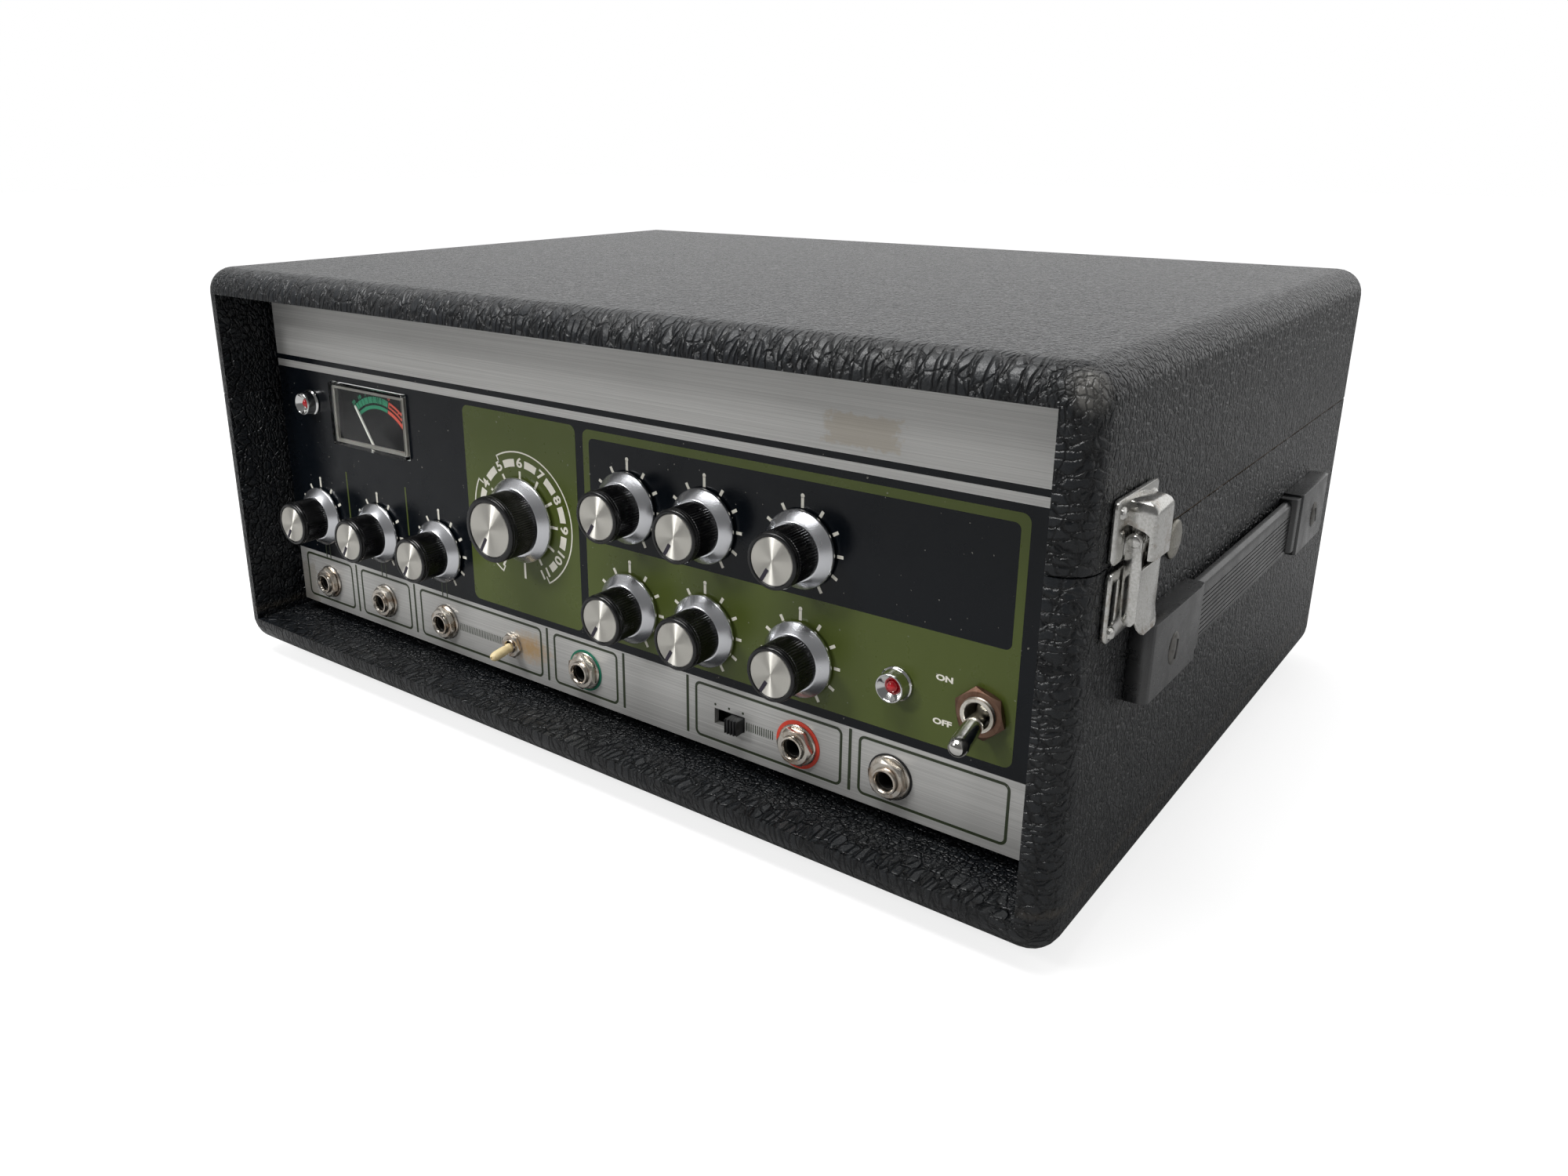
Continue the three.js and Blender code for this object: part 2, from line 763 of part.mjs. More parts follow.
// Latches, one on each side: a base on the lower case, a lever on its pin, and a hooded keeper on the lid.
// Built out from the side along +X with heights from the bottom of the case.
const latch_inset = 30;
const latch_y = front_y + latch_inset;
const plate_width = 32;
const plate_thickness = 1.5;
const base_low = 99.7;
const keeper_high = 141;
const seam_margin = 0.9;
const hinge_out = 4.4;
const hinge_row = 128.6;
const hinge_pin_radius = 1.1;
const barrel_radius = 1.8;
const tongue_half_width = 3;
const tongue_low = 113.5;
const tongue_in = 2.6;
const tongue_out = 4.2;
const lever_width = 16.4;
const lever_sheet = 0.9;
const lever_face_out = 7.1;
const lever_face_low = 107;
const lever_face_high = 120.5;
const lever_top_radius = 2.2;
const lever_wall_in = 2.3;
const lever_wall_low = 104;
const tab_out = 8.6;
const tab_low = 100.6;
const tab_root_out = 5;
const tab_root_low = 101.6;
const hood_out = 9.7;
const hood_sheet = 1.5;
const hood_half_width = 7;
const hood_low = 123.4;
const hood_high = 139.8;
const hood_shoulder_out = 8;
const hood_shoulder_low = 137.6;
const hood_root_high = 137.8;

const plate_out = touch_gap + plate_thickness;

function latch_plate(low, high) {
  return box([touch_gap, plate_out], [-plate_width / 2, plate_width / 2], [low, high]);
}

function latch_base() {
  const plate = latch_plate(base_low, seam_height - seam_margin);
  const foot = box(
    [touch_gap, tongue_out],
    [-tongue_half_width, tongue_half_width],
    [tongue_low, seam_height - seam_margin],
  );
  const tongue = box(
    [tongue_in, tongue_out],
    [-tongue_half_width, tongue_half_width],
    [tongue_low, hinge_row],
  );
  const barrel_y = [-tongue_half_width, tongue_half_width];
  const barrel = bar_y(hinge_out, hinge_row, barrel_radius, barrel_y, small_round_sides);
  const pin_y = [-lever_width / 2, lever_width / 2];
  const pin = bar_y(hinge_out, hinge_row, hinge_pin_radius, pin_y, small_round_sides);
  return join([plate, foot, tongue, barrel, pin]);
}

// The lever is placed on its pin, so its outline is taken from there
function latch_lever() {
  const outline = [
    [lever_wall_in - hinge_out, 0],
    [lever_wall_in - hinge_out, lever_wall_low - hinge_row],
    [tab_root_out - hinge_out, tab_root_low - hinge_row],
    [tab_out - lever_sheet - hinge_out, tab_low - hinge_row],
    [tab_out - hinge_out, tab_low - hinge_row],
    [lever_face_out - hinge_out, lever_face_low - hinge_row],
    [lever_face_out - hinge_out, lever_face_high - hinge_row],
    [lever_top_radius, 0],
  ];
  const half_width = lever_width / 2;
  const side = slab_y(outline, [-half_width, half_width]);
  const top = bar_y(0, 0, lever_top_radius, [-half_width, half_width], small_round_sides);
  const inner_width = half_width - lever_sheet;
  const pocket = box(
    [-hinge_out, lever_face_out - lever_sheet - hinge_out],
    [-inner_width, inner_width],
    [tab_root_low + lever_sheet - hinge_row, lever_top_radius + cut_overrun],
  );
  const face_slot = box(
    [-hinge_out, lever_face_out],
    [-inner_width, inner_width],
    [lever_face_high - hinge_row, lever_top_radius + cut_overrun],
  );
  const bore = bar_y(
    0,
    0,
    hinge_pin_radius + running_gap,
    [-half_width - cut_overrun, half_width + cut_overrun],
    small_round_sides,
  );
  return cut(join([side, top]), [pocket, face_slot, bore]);
}

function latch_keeper() {
  const plate = latch_plate(seam_height + seam_margin, keeper_high);
  const hood = slab_y([
    [touch_gap, hood_root_high],
    [touch_gap, hood_root_high - 2 * hood_sheet],
    [plate_out, hood_shoulder_low - 2 * hood_sheet],
    [hood_out - hood_sheet, hood_shoulder_low - hood_sheet],
    [hood_out - hood_sheet, hood_low],
    [hood_out, hood_low],
    [hood_out, hood_shoulder_low],
    [hood_shoulder_out, hood_high],
  ], [-hood_half_width, hood_half_width]);
  return plate.add(hood);
}

for (const [side, x, turn] of [['right', side_x, 0], ['left', -side_x, Math.PI]]) {
  const hinge_x = x + Math.cos(turn) * hinge_out;
  piece(`latch_base_${side}`, latch_base(), 'chrome', [x, latch_y, case_bottom], turn);
  piece(`latch_lever_${side}`, latch_lever(), 'chrome', [hinge_x, latch_y, up(hinge_row)], turn);
  piece(`latch_keeper_${side}`, latch_keeper(), 'chrome', [x, latch_y, case_bottom], turn);
}

// Chassis: a steel tray on the case's floor, and the deck plate on its side walls
const tray_sheet = 1.5;
const tray_side_gap = 4;
const tray_half_width = inner_half_width - tray_side_gap;
const tray_front_y = panel_back_y + touch_gap;
const tray_back_y = rear_panel_y - gland_flange_height - touch_gap;
const tray_floor_z = floor_top + touch_gap;
const tray_top_z = tray_floor_z + tray_sheet;
const tray_lip = 8;
const jack_clearance = 3;
const deck_row = 93;
const deck_sheet = 2;
const deck_front_inset = 56;
const deck_rear_gap = 6.4;
const deck_front_y = panel_y + deck_front_inset;
const deck_rear_y = tray_back_y - deck_rear_gap;
const deck_z = up(deck_row);
const deck_top_z = deck_z + deck_sheet;

function chassis_tray() {
  const floor = box(
    [-tray_half_width, tray_half_width],
    [tray_front_y, tray_back_y],
    [tray_floor_z, tray_top_z],
  );
  const side_z = [tray_floor_z, deck_z - touch_gap];
  const side_y = [deck_front_y, deck_rear_y];
  const left = box([-tray_half_width, -tray_half_width + tray_sheet], side_y, side_z);
  const right = box([tray_half_width - tray_sheet, tray_half_width], side_y, side_z);
  const front_lip = box(
    [-tray_half_width, tray_half_width],
    [tray_front_y, tray_front_y + tray_sheet],
    [tray_floor_z, up(jack_row) - jack_body - jack_clearance],
  );
  const rear_lip = box(
    [-tray_half_width, tray_half_width],
    [tray_back_y - tray_sheet, tray_back_y],
    [tray_floor_z, tray_floor_z + tray_lip],
  );
  return join([floor, left, right, front_lip, rear_lip]);
}

// Tape transport on the deck: the tape runs past the heads and between the capstan and the pinch roller
const capstan_side_inset = 112.5;
const capstan_x = tray_half_width - capstan_side_inset;
const capstan_radius = 3;
const tape_front_inset = 41;
const tape_front_y = deck_front_y + tape_front_inset;
const tape_thickness = 0.6;
const tape_width = 6.35;
const tape_lift = 5;
const capstan_y = tape_front_y + tape_thickness / 2 + touch_gap + capstan_radius;
const guide_reach = 25;
const guide_x = capstan_x + guide_reach;
const tape_turn_radius = 10;
const guide_y = tape_front_y + tape_turn_radius;
const guide_height = 13;
const flywheel_radius = 32;
const flywheel_height = 11;
const flywheel_drop = 8;
const bearing_radius = 8;
const bearing_drop = 6;
const capstan_top = 24;
const pinch_radius = 9;
const pinch_height = 10;
const pinch_lift = 3.6;
const pinch_y = tape_front_y - tape_thickness / 2 - touch_gap - pinch_radius;
const arm_sheet = 2;
const arm_lift = 1;
const arm_half_width = 5;
const arm_pivot_reach = 33;
const arm_pivot_drop = 20;
const arm_pivot_x = capstan_x + arm_pivot_reach;
const arm_pivot_y = tape_front_y - arm_pivot_drop;
const arm_post_radius = 2.5;
const arm_post_height = 7;
const arm_boss_radius = 6;
const arm_boss_height = 5;
const roller_pin_radius = 2;

const flywheel_top_z = deck_z - flywheel_drop;
const flywheel_low_z = flywheel_top_z - flywheel_height;

function deck_plate() {
  const plate = box(
    [-tray_half_width, tray_half_width],
    [deck_front_y, deck_rear_y],
    [deck_z, deck_top_z],
  );
  const bearing = post(capstan_x, capstan_y, bearing_radius, [deck_z - bearing_drop, deck_top_z]);
  const bore = post(
    capstan_x,
    capstan_y,
    capstan_radius + running_gap,
    [deck_z - bearing_drop - cut_overrun, deck_top_z + cut_overrun],
  );
  const guide_radius = tape_turn_radius - tape_thickness / 2 - touch_gap;
  const guide = post(guide_x, guide_y, guide_radius, [deck_z, deck_top_z + guide_height]);
  const pivot = post(arm_pivot_x, arm_pivot_y, arm_post_radius, [deck_z, deck_top_z + arm_post_height]);
  return join([plate, bearing, guide, pivot]).subtract(bore);
}

// Flywheel and capstan shaft in one, turning in the deck's bearing
function capstan_flywheel() {
  return turned_up([
    [0, flywheel_low_z],
    [flywheel_radius, flywheel_low_z],
    [flywheel_radius, flywheel_top_z],
    [capstan_radius, flywheel_top_z],
    [capstan_radius, deck_top_z + capstan_top],
    [0, deck_top_z + capstan_top],
  ], 2 * round_sides);
}

function pinch_arm() {
  const z0 = deck_top_z + arm_lift;
  const reach_x = capstan_x - arm_pivot_x;
  const reach_y = pinch_y - arm_pivot_y;
  const length = Math.hypot(reach_x, reach_y);
  const blade = box([0, length], [-arm_half_width, arm_half_width], [z0, z0 + arm_sheet]);
  const turn = THREE.MathUtils.radToDeg(Math.atan2(reach_y, reach_x));
  const boss = post(0, 0, arm_boss_radius, [z0, z0 + arm_boss_height]);
  const pad = post(reach_x, reach_y, arm_half_width, [z0, z0 + arm_sheet]);
  const pin_top = deck_top_z + pinch_lift + pinch_height + arm_sheet;
  const pin = post(reach_x, reach_y, roller_pin_radius, [z0, pin_top]);
  const bore_z = [z0 - cut_overrun, z0 + arm_boss_height + cut_overrun];
  const bore = post(0, 0, arm_post_radius + running_gap, bore_z);
  return join([blade.rotate([0, 0, turn]), boss, pad, pin]).subtract(bore);
}

function pinch_roller() {
  const z = [deck_top_z + pinch_lift, deck_top_z + pinch_lift + pinch_height];
  const bore = post(0, 0, roller_pin_radius + running_gap, [z[0] - cut_overrun, z[1] + cut_overrun]);
  return post(0, 0, pinch_radius, z).subtract(bore);
}

// Heads: five blocks on one bridge, their faces against the tape
const head_count = 5;
const head_pitch = 15;
const head_first_reach = 83;
const head_first_x = capstan_x - head_first_reach;
const head_width = 11;
const head_depth = 13;
const head_height = 12;
const bridge_margin = 5;
const bridge_height = 3;

function head_block() {
  const last_x = head_first_x + (head_count - 1) * head_pitch;
  const face_y = tape_front_y - tape_thickness / 2 - touch_gap;
  const z0 = deck_top_z + touch_gap;
  const bridge = box(
    [head_first_x - head_width / 2 - bridge_margin, last_x + head_width / 2 + bridge_margin / 2],
    [face_y - head_depth - bridge_margin, face_y - touch_gap],
    [z0, z0 + bridge_height],
  );
  const heads = [];
  for (let i = 0; i < head_count; i += 1) {
    const x = head_first_x + i * head_pitch;
    const head_x = [x - head_width / 2, x + head_width / 2];
    heads.push(box(head_x, [face_y - head_depth, face_y], [z0, z0 + head_height]));
  }
  return join([bridge, ...heads]);
}

// Tape: an endless loop that stands on edge, folded in waves inside its chamber
const chamber_side_inset = 9.5;
const chamber_reach = 101;
const chamber_front_inset = 13;
const chamber_rear_inset = 16;
const chamber_left_x = chamber_side_inset - tray_half_width;
const chamber_right_x = capstan_x - chamber_reach;
const chamber_front_y = deck_front_y + chamber_front_inset;
const chamber_rear_y = deck_rear_y - chamber_rear_inset;
const chamber_sheet = 1.5;
const chamber_height = 16;
const chamber_gate = 30;
const loop_wave = 9;
const loop_room = 11;
const loop_x = (chamber_left_x + chamber_right_x) / 2;
const loop_y = (chamber_front_y + chamber_rear_y) / 2;
const loop_half_width = (chamber_right_x - chamber_left_x) / 2 - loop_wave - loop_room;
const loop_half_depth = (chamber_rear_y - chamber_front_y) / 2 - loop_wave - loop_room;
const loop_waves = 9;
const loop_neck_angle = 0.42;
const loop_open_angle = 1.428;
const loop_steps = 54;
const run_steps = 10;
const run_lead = 8;
const turn_steps = 12;

function tape_chamber() {
  const z0 = deck_top_z + touch_gap;
  const outer = box(
    [chamber_left_x, chamber_right_x],
    [chamber_front_y, chamber_rear_y],
    [z0, z0 + chamber_height],
  );
  const inner = box(
    [chamber_left_x + chamber_sheet, chamber_right_x - chamber_sheet],
    [chamber_front_y + chamber_sheet, chamber_rear_y - chamber_sheet],
    [z0 + chamber_sheet, z0 + chamber_height + cut_overrun],
  );
  const gate_y = tape_front_y + tape_turn_radius;
  const gate = box(
    [chamber_right_x - chamber_sheet - cut_overrun, chamber_right_x + cut_overrun],
    [gate_y - chamber_gate / 2, gate_y + chamber_gate / 2],
    [z0 + chamber_sheet, z0 + chamber_height + cut_overrun],
  );
  return cut(outer, [inner, gate]);
}

// The middle line of the tape: out along the heads, round the guide, back, and round the wavy loop
function tape_line() {
  const points = [];
  const return_y = tape_front_y + 2 * tape_turn_radius;
  const run_x = chamber_right_x - run_lead;
  for (let i = 0; i < run_steps; i += 1) {
    points.push([run_x + ((guide_x - run_x) * i) / run_steps, tape_front_y]);
  }
  for (let i = 0; i < turn_steps; i += 1) {
    const angle = -quarter_turn + (Math.PI * i) / turn_steps;
    const across = tape_turn_radius * Math.cos(angle);
    points.push([guide_x + across, guide_y + tape_turn_radius * Math.sin(angle)]);
  }
  for (let i = 0; i <= run_steps; i += 1) {
    points.push([guide_x + ((run_x - guide_x) * i) / run_steps, return_y]);
  }
  for (let i = 1; i < loop_steps; i += 1) {
    const angle = loop_neck_angle + ((2 * Math.PI - loop_open_angle) * i) / loop_steps;
    const wave = loop_wave * Math.cos(loop_waves * angle);
    const x = loop_x + (loop_half_width + wave) * Math.cos(angle);
    points.push([x, loop_y + (loop_half_depth + wave) * Math.sin(angle)]);
  }
  return points.map(([x, y]) => new THREE.Vector3(x, y, 0));
}

function tape_loop() {
  const curve = new THREE.CatmullRomCurve3(tape_line(), true, 'centripetal');
  const steps = 2 * (loop_steps + turn_steps);
  const outer = [];
  const inner = [];
  for (let i = 0; i < steps; i += 1) {
    const point = curve.getPoint(i / steps);
    const along = curve.getTangent(i / steps);
    const half = tape_thickness / 2;
    outer.push(new THREE.Vector2(point.x + along.y * half, point.y - along.x * half));
    inner.push(new THREE.Vector2(point.x - along.y * half, point.y + along.x * half));
  }
  const shape = new THREE.Shape(outer);
  shape.holes.push(new THREE.Path(inner));
  const z0 = deck_top_z + tape_lift;
  return slab_up(shape, [z0, z0 + tape_width]);
}

// Drive under the deck: a motor on the tray, its pulley, and a flat belt to the flywheel
const motor_reach = 63;
const motor_setback = 52.4;
const motor_x = capstan_x + motor_reach;
const motor_y = capstan_y + motor_setback;
const motor_radius = 24;
const pulley_radius = 8;
const pulley_lift = 1.5;
const motor_shaft_radius = 2.5;
const motor_bore_depth = 14;
const belt_thickness = 1.2;
const belt_width = 5;

const motor_low_z = tray_top_z + touch_gap;
const motor_top_z = flywheel_low_z - pulley_lift;

function capstan_motor() {
  const can = post(0, 0, motor_radius, [motor_low_z, motor_top_z]);
  const bore_z = [motor_top_z - motor_bore_depth, motor_top_z + cut_overrun];
  const bore = post(0, 0, motor_shaft_radius + running_gap, bore_z);
  return can.subtract(bore);
}

function motor_pulley() {
  return turned_up([
    [0, motor_top_z - motor_bore_depth + touch_gap],
    [motor_shaft_radius, motor_top_z - motor_bore_depth + touch_gap],
    [motor_shaft_radius, flywheel_low_z],
    [pulley_radius, flywheel_low_z],
    [pulley_radius, flywheel_top_z],
    [0, flywheel_top_z],
  ]);
}

// A ring round both pulleys at a distance from their rims
function belt_outline(distance) {
  const dx = motor_x - capstan_x;
  const dy = motor_y - capstan_y;
  const between = Math.hypot(dx, dy);
  const heading = Math.atan2(dy, dx);
  const large = flywheel_radius + distance;
  const small = pulley_radius + distance;
  const lean = Math.acos((large - small) / between);
  const points = [];
  const steps = round_sides;
  for (let i = 0; i <= steps; i += 1) {
    const angle = heading + lean + ((2 * Math.PI - 2 * lean) * i) / steps;
    points.push(new THREE.Vector2(capstan_x + large * Math.cos(angle), capstan_y + large * Math.sin(angle)));
  }
  for (let i = 0; i <= steps / 2; i += 1) {
    const angle = heading - lean + (2 * lean * i) / (steps / 2);
    points.push(new THREE.Vector2(motor_x + small * Math.cos(angle), motor_y + small * Math.sin(angle)));
  }
  return points;
}

function drive_belt() {
  const shape = new THREE.Shape(belt_outline(touch_gap + belt_thickness));
  shape.holes.push(new THREE.Path(belt_outline(touch_gap)));
  const middle = (flywheel_low_z + flywheel_top_z) / 2;
  return slab_up(shape, [middle - belt_width / 2, middle + belt_width / 2]);
}

// On the tray: the reverb spring tank, the main board on its spacers, and the power transformer
const tank_side_inset = 19.5;
const tank_width = 210;
const tank_depth = 40;
const tank_rear_gap = 10.4;
const tank_height = 34;
const tank_lip = 4;
const tank_lip_height = 2;
const main_board_side_inset = 11.5;
const main_board_width = 196;
const main_board_front_gap = 35;
const main_board_tank_gap = 10;
const main_board_lift = 8;
const spacer_radius = 3.5;
const spacer_inset = 8;
const part_rows = 3;
const part_columns = 5;
const part_radius = 5;
const part_height = 14;
const core_side_gap = 12.5;
const core_front_gap = 53.2;
const core_width = 50;
const core_depth = 30;
const core_height = 42;
const winding_width = 34;
const winding_depth = 46;
const winding_height = 30;

const tank_left_x = tank_side_inset - tray_half_width;
const tank_x = [tank_left_x, tank_left_x + tank_width];
const tank_rear_y = tray_back_y - tank_rear_gap;
const tank_y = [tank_rear_y - tank_depth, tank_rear_y];
const main_board_left_x = main_board_side_inset - tray_half_width;
const main_board_x = [main_board_left_x, main_board_left_x + main_board_width];
const main_board_y = [panel_y + jack_depth + main_board_front_gap, tank_y[0] - main_board_tank_gap];
const core_x = tray_half_width - core_side_gap - core_width / 2;
const core_y = tray_front_y + core_front_gap + winding_depth / 2;

function spring_tank() {
  const z0 = tray_top_z + touch_gap;
  const body = box(tank_x, tank_y, [z0, z0 + tank_height]);
  const lip = box(
    [tank_x[0] - tank_lip, tank_x[1] + tank_lip],
    tank_y,
    [z0, z0 + tank_lip_height],
  );
  return body.add(lip);
}

function main_board() {
  const z0 = tray_top_z + touch_gap;
  const z1 = z0 + main_board_lift;
  const sheet = box(main_board_x, main_board_y, [z1, z1 + board_thickness]);
  const shapes = [sheet];
  for (const x of [main_board_x[0] + spacer_inset, main_board_x[1] - spacer_inset]) {
    for (const y of [main_board_y[0] + spacer_inset, main_board_y[1] - spacer_inset]) {
      shapes.push(post(x, y, spacer_radius, [z0, z1 + board_thickness / 2], small_round_sides / 2));
    }
  }
  const step_x = (main_board_x[1] - main_board_x[0]) / part_columns;
  const step_y = (main_board_y[1] - main_board_y[0]) / part_rows;
  for (let column = 0; column < part_columns; column += 1) {
    for (let row = 0; row < part_rows; row += 1) {
      const x = main_board_x[0] + (column + 1 / 2) * step_x;
      const y = main_board_y[0] + (row + 1 / 2) * step_y;
      shapes.push(post(x, y, part_radius, [z1, z1 + board_thickness + part_height], small_round_sides / 2));
    }
  }
  return join(shapes);
}

function power_transformer() {
  const z0 = tray_top_z + touch_gap;
  const core = box(
    [-core_width / 2, core_width / 2],
    [-core_depth / 2, core_depth / 2],
    [z0, z0 + core_height],
  );
  const middle = z0 + core_height / 2;
  const winding = box(
    [-winding_width / 2, winding_width / 2],
    [-winding_depth / 2, winding_depth / 2],
    [middle - winding_height / 2, middle + winding_height / 2],
  );
  return core.add(winding);
}

piece('chassis_tray', chassis_tray(), 'steel');
piece('deck_plate', deck_plate(), 'steel');
piece('capstan_flywheel', capstan_flywheel(), 'steel', [capstan_x, capstan_y, 0]);
piece('pinch_arm', pinch_arm(), 'steel', [arm_pivot_x, arm_pivot_y, 0]);
piece('pinch_roller', pinch_roller(), 'rubber', [capstan_x, pinch_y, 0]);
piece('head_block', head_block(), 'aluminium');
piece('tape_chamber', tape_chamber(), 'clear');
piece('tape_loop', tape_loop(), 'tape');
piece('capstan_motor', capstan_motor(), 'steel', [motor_x, motor_y, 0]);
piece('motor_pulley', motor_pulley(), 'brass', [motor_x, motor_y, 0]);
piece('drive_belt', drive_belt(), 'rubber');
piece('spring_tank', spring_tank(), 'steel');
piece('main_board', main_board(), 'circuit');
piece('power_transformer', power_transformer(), 'steel', [core_x, core_y, 0]);

export default unit;
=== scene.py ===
import math

import bmesh
import bpy
from mathutils import Matrix, Vector


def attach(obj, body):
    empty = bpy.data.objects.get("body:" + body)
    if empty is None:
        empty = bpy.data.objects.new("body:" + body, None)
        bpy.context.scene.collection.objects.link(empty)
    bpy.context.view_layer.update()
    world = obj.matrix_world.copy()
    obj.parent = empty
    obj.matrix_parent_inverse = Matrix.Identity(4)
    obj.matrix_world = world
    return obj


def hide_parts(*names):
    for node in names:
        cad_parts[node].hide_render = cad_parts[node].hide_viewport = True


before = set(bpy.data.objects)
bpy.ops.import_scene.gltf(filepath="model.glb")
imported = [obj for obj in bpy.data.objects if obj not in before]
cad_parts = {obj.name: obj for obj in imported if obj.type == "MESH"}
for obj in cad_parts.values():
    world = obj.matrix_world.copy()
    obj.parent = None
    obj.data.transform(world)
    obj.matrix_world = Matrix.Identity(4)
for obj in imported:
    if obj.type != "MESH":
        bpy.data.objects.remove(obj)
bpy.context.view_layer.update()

# Camera
# The viewpoint was found by fitting the case's edges in the photograph, with its real width.
# Sizes here are metres; the picture is 2000 by 1500.
camera_azimuth = math.radians(37.434)
camera_elevation = math.radians(18.566)
camera_place = (0.31317, -0.44465, 0.23864)
focal_length = 27.66
frame_shift = (0.03354, -0.02808)

scene = bpy.context.scene
camera_data = bpy.data.cameras.new("camera")
camera_data.lens = focal_length
camera_data.sensor_width = 36
camera_data.shift_x, camera_data.shift_y = frame_shift
camera_data.clip_start = 0.01
camera = bpy.data.objects.new("camera", camera_data)
camera.location = camera_place
camera.rotation_euler = (math.pi / 2 - camera_elevation, 0, camera_azimuth)
scene.collection.objects.link(camera)
scene.camera = camera
scene.view_settings.view_transform = "Standard"

# Studio
# A white sweep under and behind the unit, one wide lamp overhead, a small one in front at the left
# and one over the sill. The surround is white behind and dim in front, as in a room with one pale wall.
surround_front, surround_back = 0.15, 1.0
surround_turn = (-0.5, 0.7)
floor_shade, floor_glow = 0.38, 0.78
floor_size = 12.0
lamps = {
    "lamp_top": ((-0.4, -0.1, 1.5), (1.2, 1.0), 10.0),
    "lamp_front": ((-0.8, -1.3, 1.0), (0.3, 0.3), 9.0),
    "lamp_sill": ((-0.1, -0.52, 1.2), (0.8, 0.25), 10.0),
}
lamp_aim = Vector((0, 0, 0.08))


def feed(node, inputs):
    """Give a node's inputs their numbers, their colours or other nodes' outputs."""
    for key, value in inputs.items():
        socket = node.inputs[key]
        if hasattr(value, "is_linked"):
            node.id_data.links.new(value, socket)
        elif socket.type == "RGBA":
            socket.default_value = (*value, 1)
        else:
            socket.default_value = value


def new_node(tree, kind, inputs, **settings):
    """A shader node with its settings made and its inputs fed."""
    node = tree.nodes.new("ShaderNode" + kind)
    for key, value in settings.items():
        setattr(node, key, value)
    feed(node, inputs)
    return node


def calculate(operation, first, second=0.0):
    """One sum on two sockets, or on a socket and a number."""
    return new_node(first.id_data, "Math", {0: first, 1: second}, operation=operation).outputs[0]


def times(first, second):
    """One mask or amount held back by another."""
    return calculate("MULTIPLY", first, second)


def spread(value, low, high, out_low=0.0, out_high=1.0):
    """Stretch a value from low..high to out_low..out_high, and hold it there."""
    numbers = {"From Min": low, "From Max": high, "To Min": out_low, "To Max": out_high}
    return new_node(value.id_data, "MapRange", {"Value": value, **numbers}).outputs["Result"]


def new_finish(name, colour, roughness, metallic=0.0):
    """A named material, returned with its shader so that more can be fed in."""
    finish = bpy.data.materials.new(name)
    finish.use_nodes = True
    shader = finish.node_tree.nodes["Principled BSDF"]
    feed(shader, {"Base Color": colour, "Roughness": roughness, "Metallic": metallic})
    return finish, shader


world = bpy.data.worlds.new("surround")
scene.world = world
world.use_nodes = True
tree = world.node_tree
heading = new_node(tree, "TexCoord", {}).outputs["Generated"]
strength = spread(new_node(tree, "SeparateXYZ", {0: heading}).outputs["Y"], *surround_turn,
                  surround_front, surround_back)
ray = new_node(tree, "LightPath", {})
for kind in ("Is Camera Ray", "Is Transmission Ray"):
    strength = calculate("MAXIMUM", ray.outputs[kind], strength)
feed(tree.nodes["Background"], {"Color": (1, 1, 1), "Strength": strength})

for name, (place, size, power) in lamps.items():
    lamp_data = bpy.data.lights.new(name, "AREA")
    lamp_data.shape = "RECTANGLE"
    lamp_data.size, lamp_data.size_y = size
    lamp_data.energy = power
    lamp = bpy.data.objects.new(name, lamp_data)
    lamp.location = place
    lamp.rotation_euler = (lamp_aim - Vector(place)).to_track_quat("-Z", "Y").to_euler()
    scene.collection.objects.link(lamp)

floor_mesh = bpy.data.meshes.new("floor")
bm = bmesh.new()
bmesh.ops.create_grid(bm, x_segments=1, y_segments=1, size=floor_size / 2)
bm.to_mesh(floor_mesh)
bm.free()
floor = bpy.data.objects.new("floor", floor_mesh)
scene.collection.objects.link(floor)
floor_paint, shader = new_finish("floor_paint", (floor_shade, floor_shade, floor_shade), 0.9)
ray = new_node(shader.id_data, "LightPath", {})
glow = times(ray.outputs["Is Camera Ray"], floor_glow)
feed(shader, {"Emission Color": (1, 1, 1), "Emission Strength": glow})
floor_mesh.materials.append(floor_paint)

# Case
# A plywood box with rounded edges, sawn apart at the seam into the lower case and the lid, and
# covered in black leatherette with an irregular bark grain, glued over the edges and rubbed there.
MM = 0.001
case_width, case_depth, case_height = 415, 310, 178
foot_height = 7
wall, floor_wall = 16, 17
outer_round, inner_round = 10.9, 5
seam_z = foot_height + 121.6
seam_half_gap, seam_round = 0.16, 0.8
panel_y = -131
front_y, back_y = -case_depth / 2, case_depth / 2
inner_half = case_width / 2 - wall
inner_low, inner_high = foot_height + floor_wall, foot_height + case_height - wall
opening_half, opening_low, opening_high = 150, foot_height + 40, foot_height + 105
bare_y = panel_y + 3
near = 0.01

wide_bend, slight_bend = 0.0032, 0.0014
pad_size, wide_pad_size = (1.9, 2.2, 3.2), (5.5, 7.0, 9.5)
rail_fold_size, post_fold_size = (3.2, 12, 12), (7.0, 5.5, 2.7)
# The creases' near-black colour is painted shade
crease_painted_shade, pad_black = (0.0008, 0.0011, 0.0017), (0.0105, 0.0122, 0.0145)
dust_grey, worn_grey, sill_dirt = (0.06, 0.058, 0.052), (0.15, 0.145, 0.135), (0.085, 0.07, 0.052)
worn_corner = (0.2045, -0.1515, 0.1795)


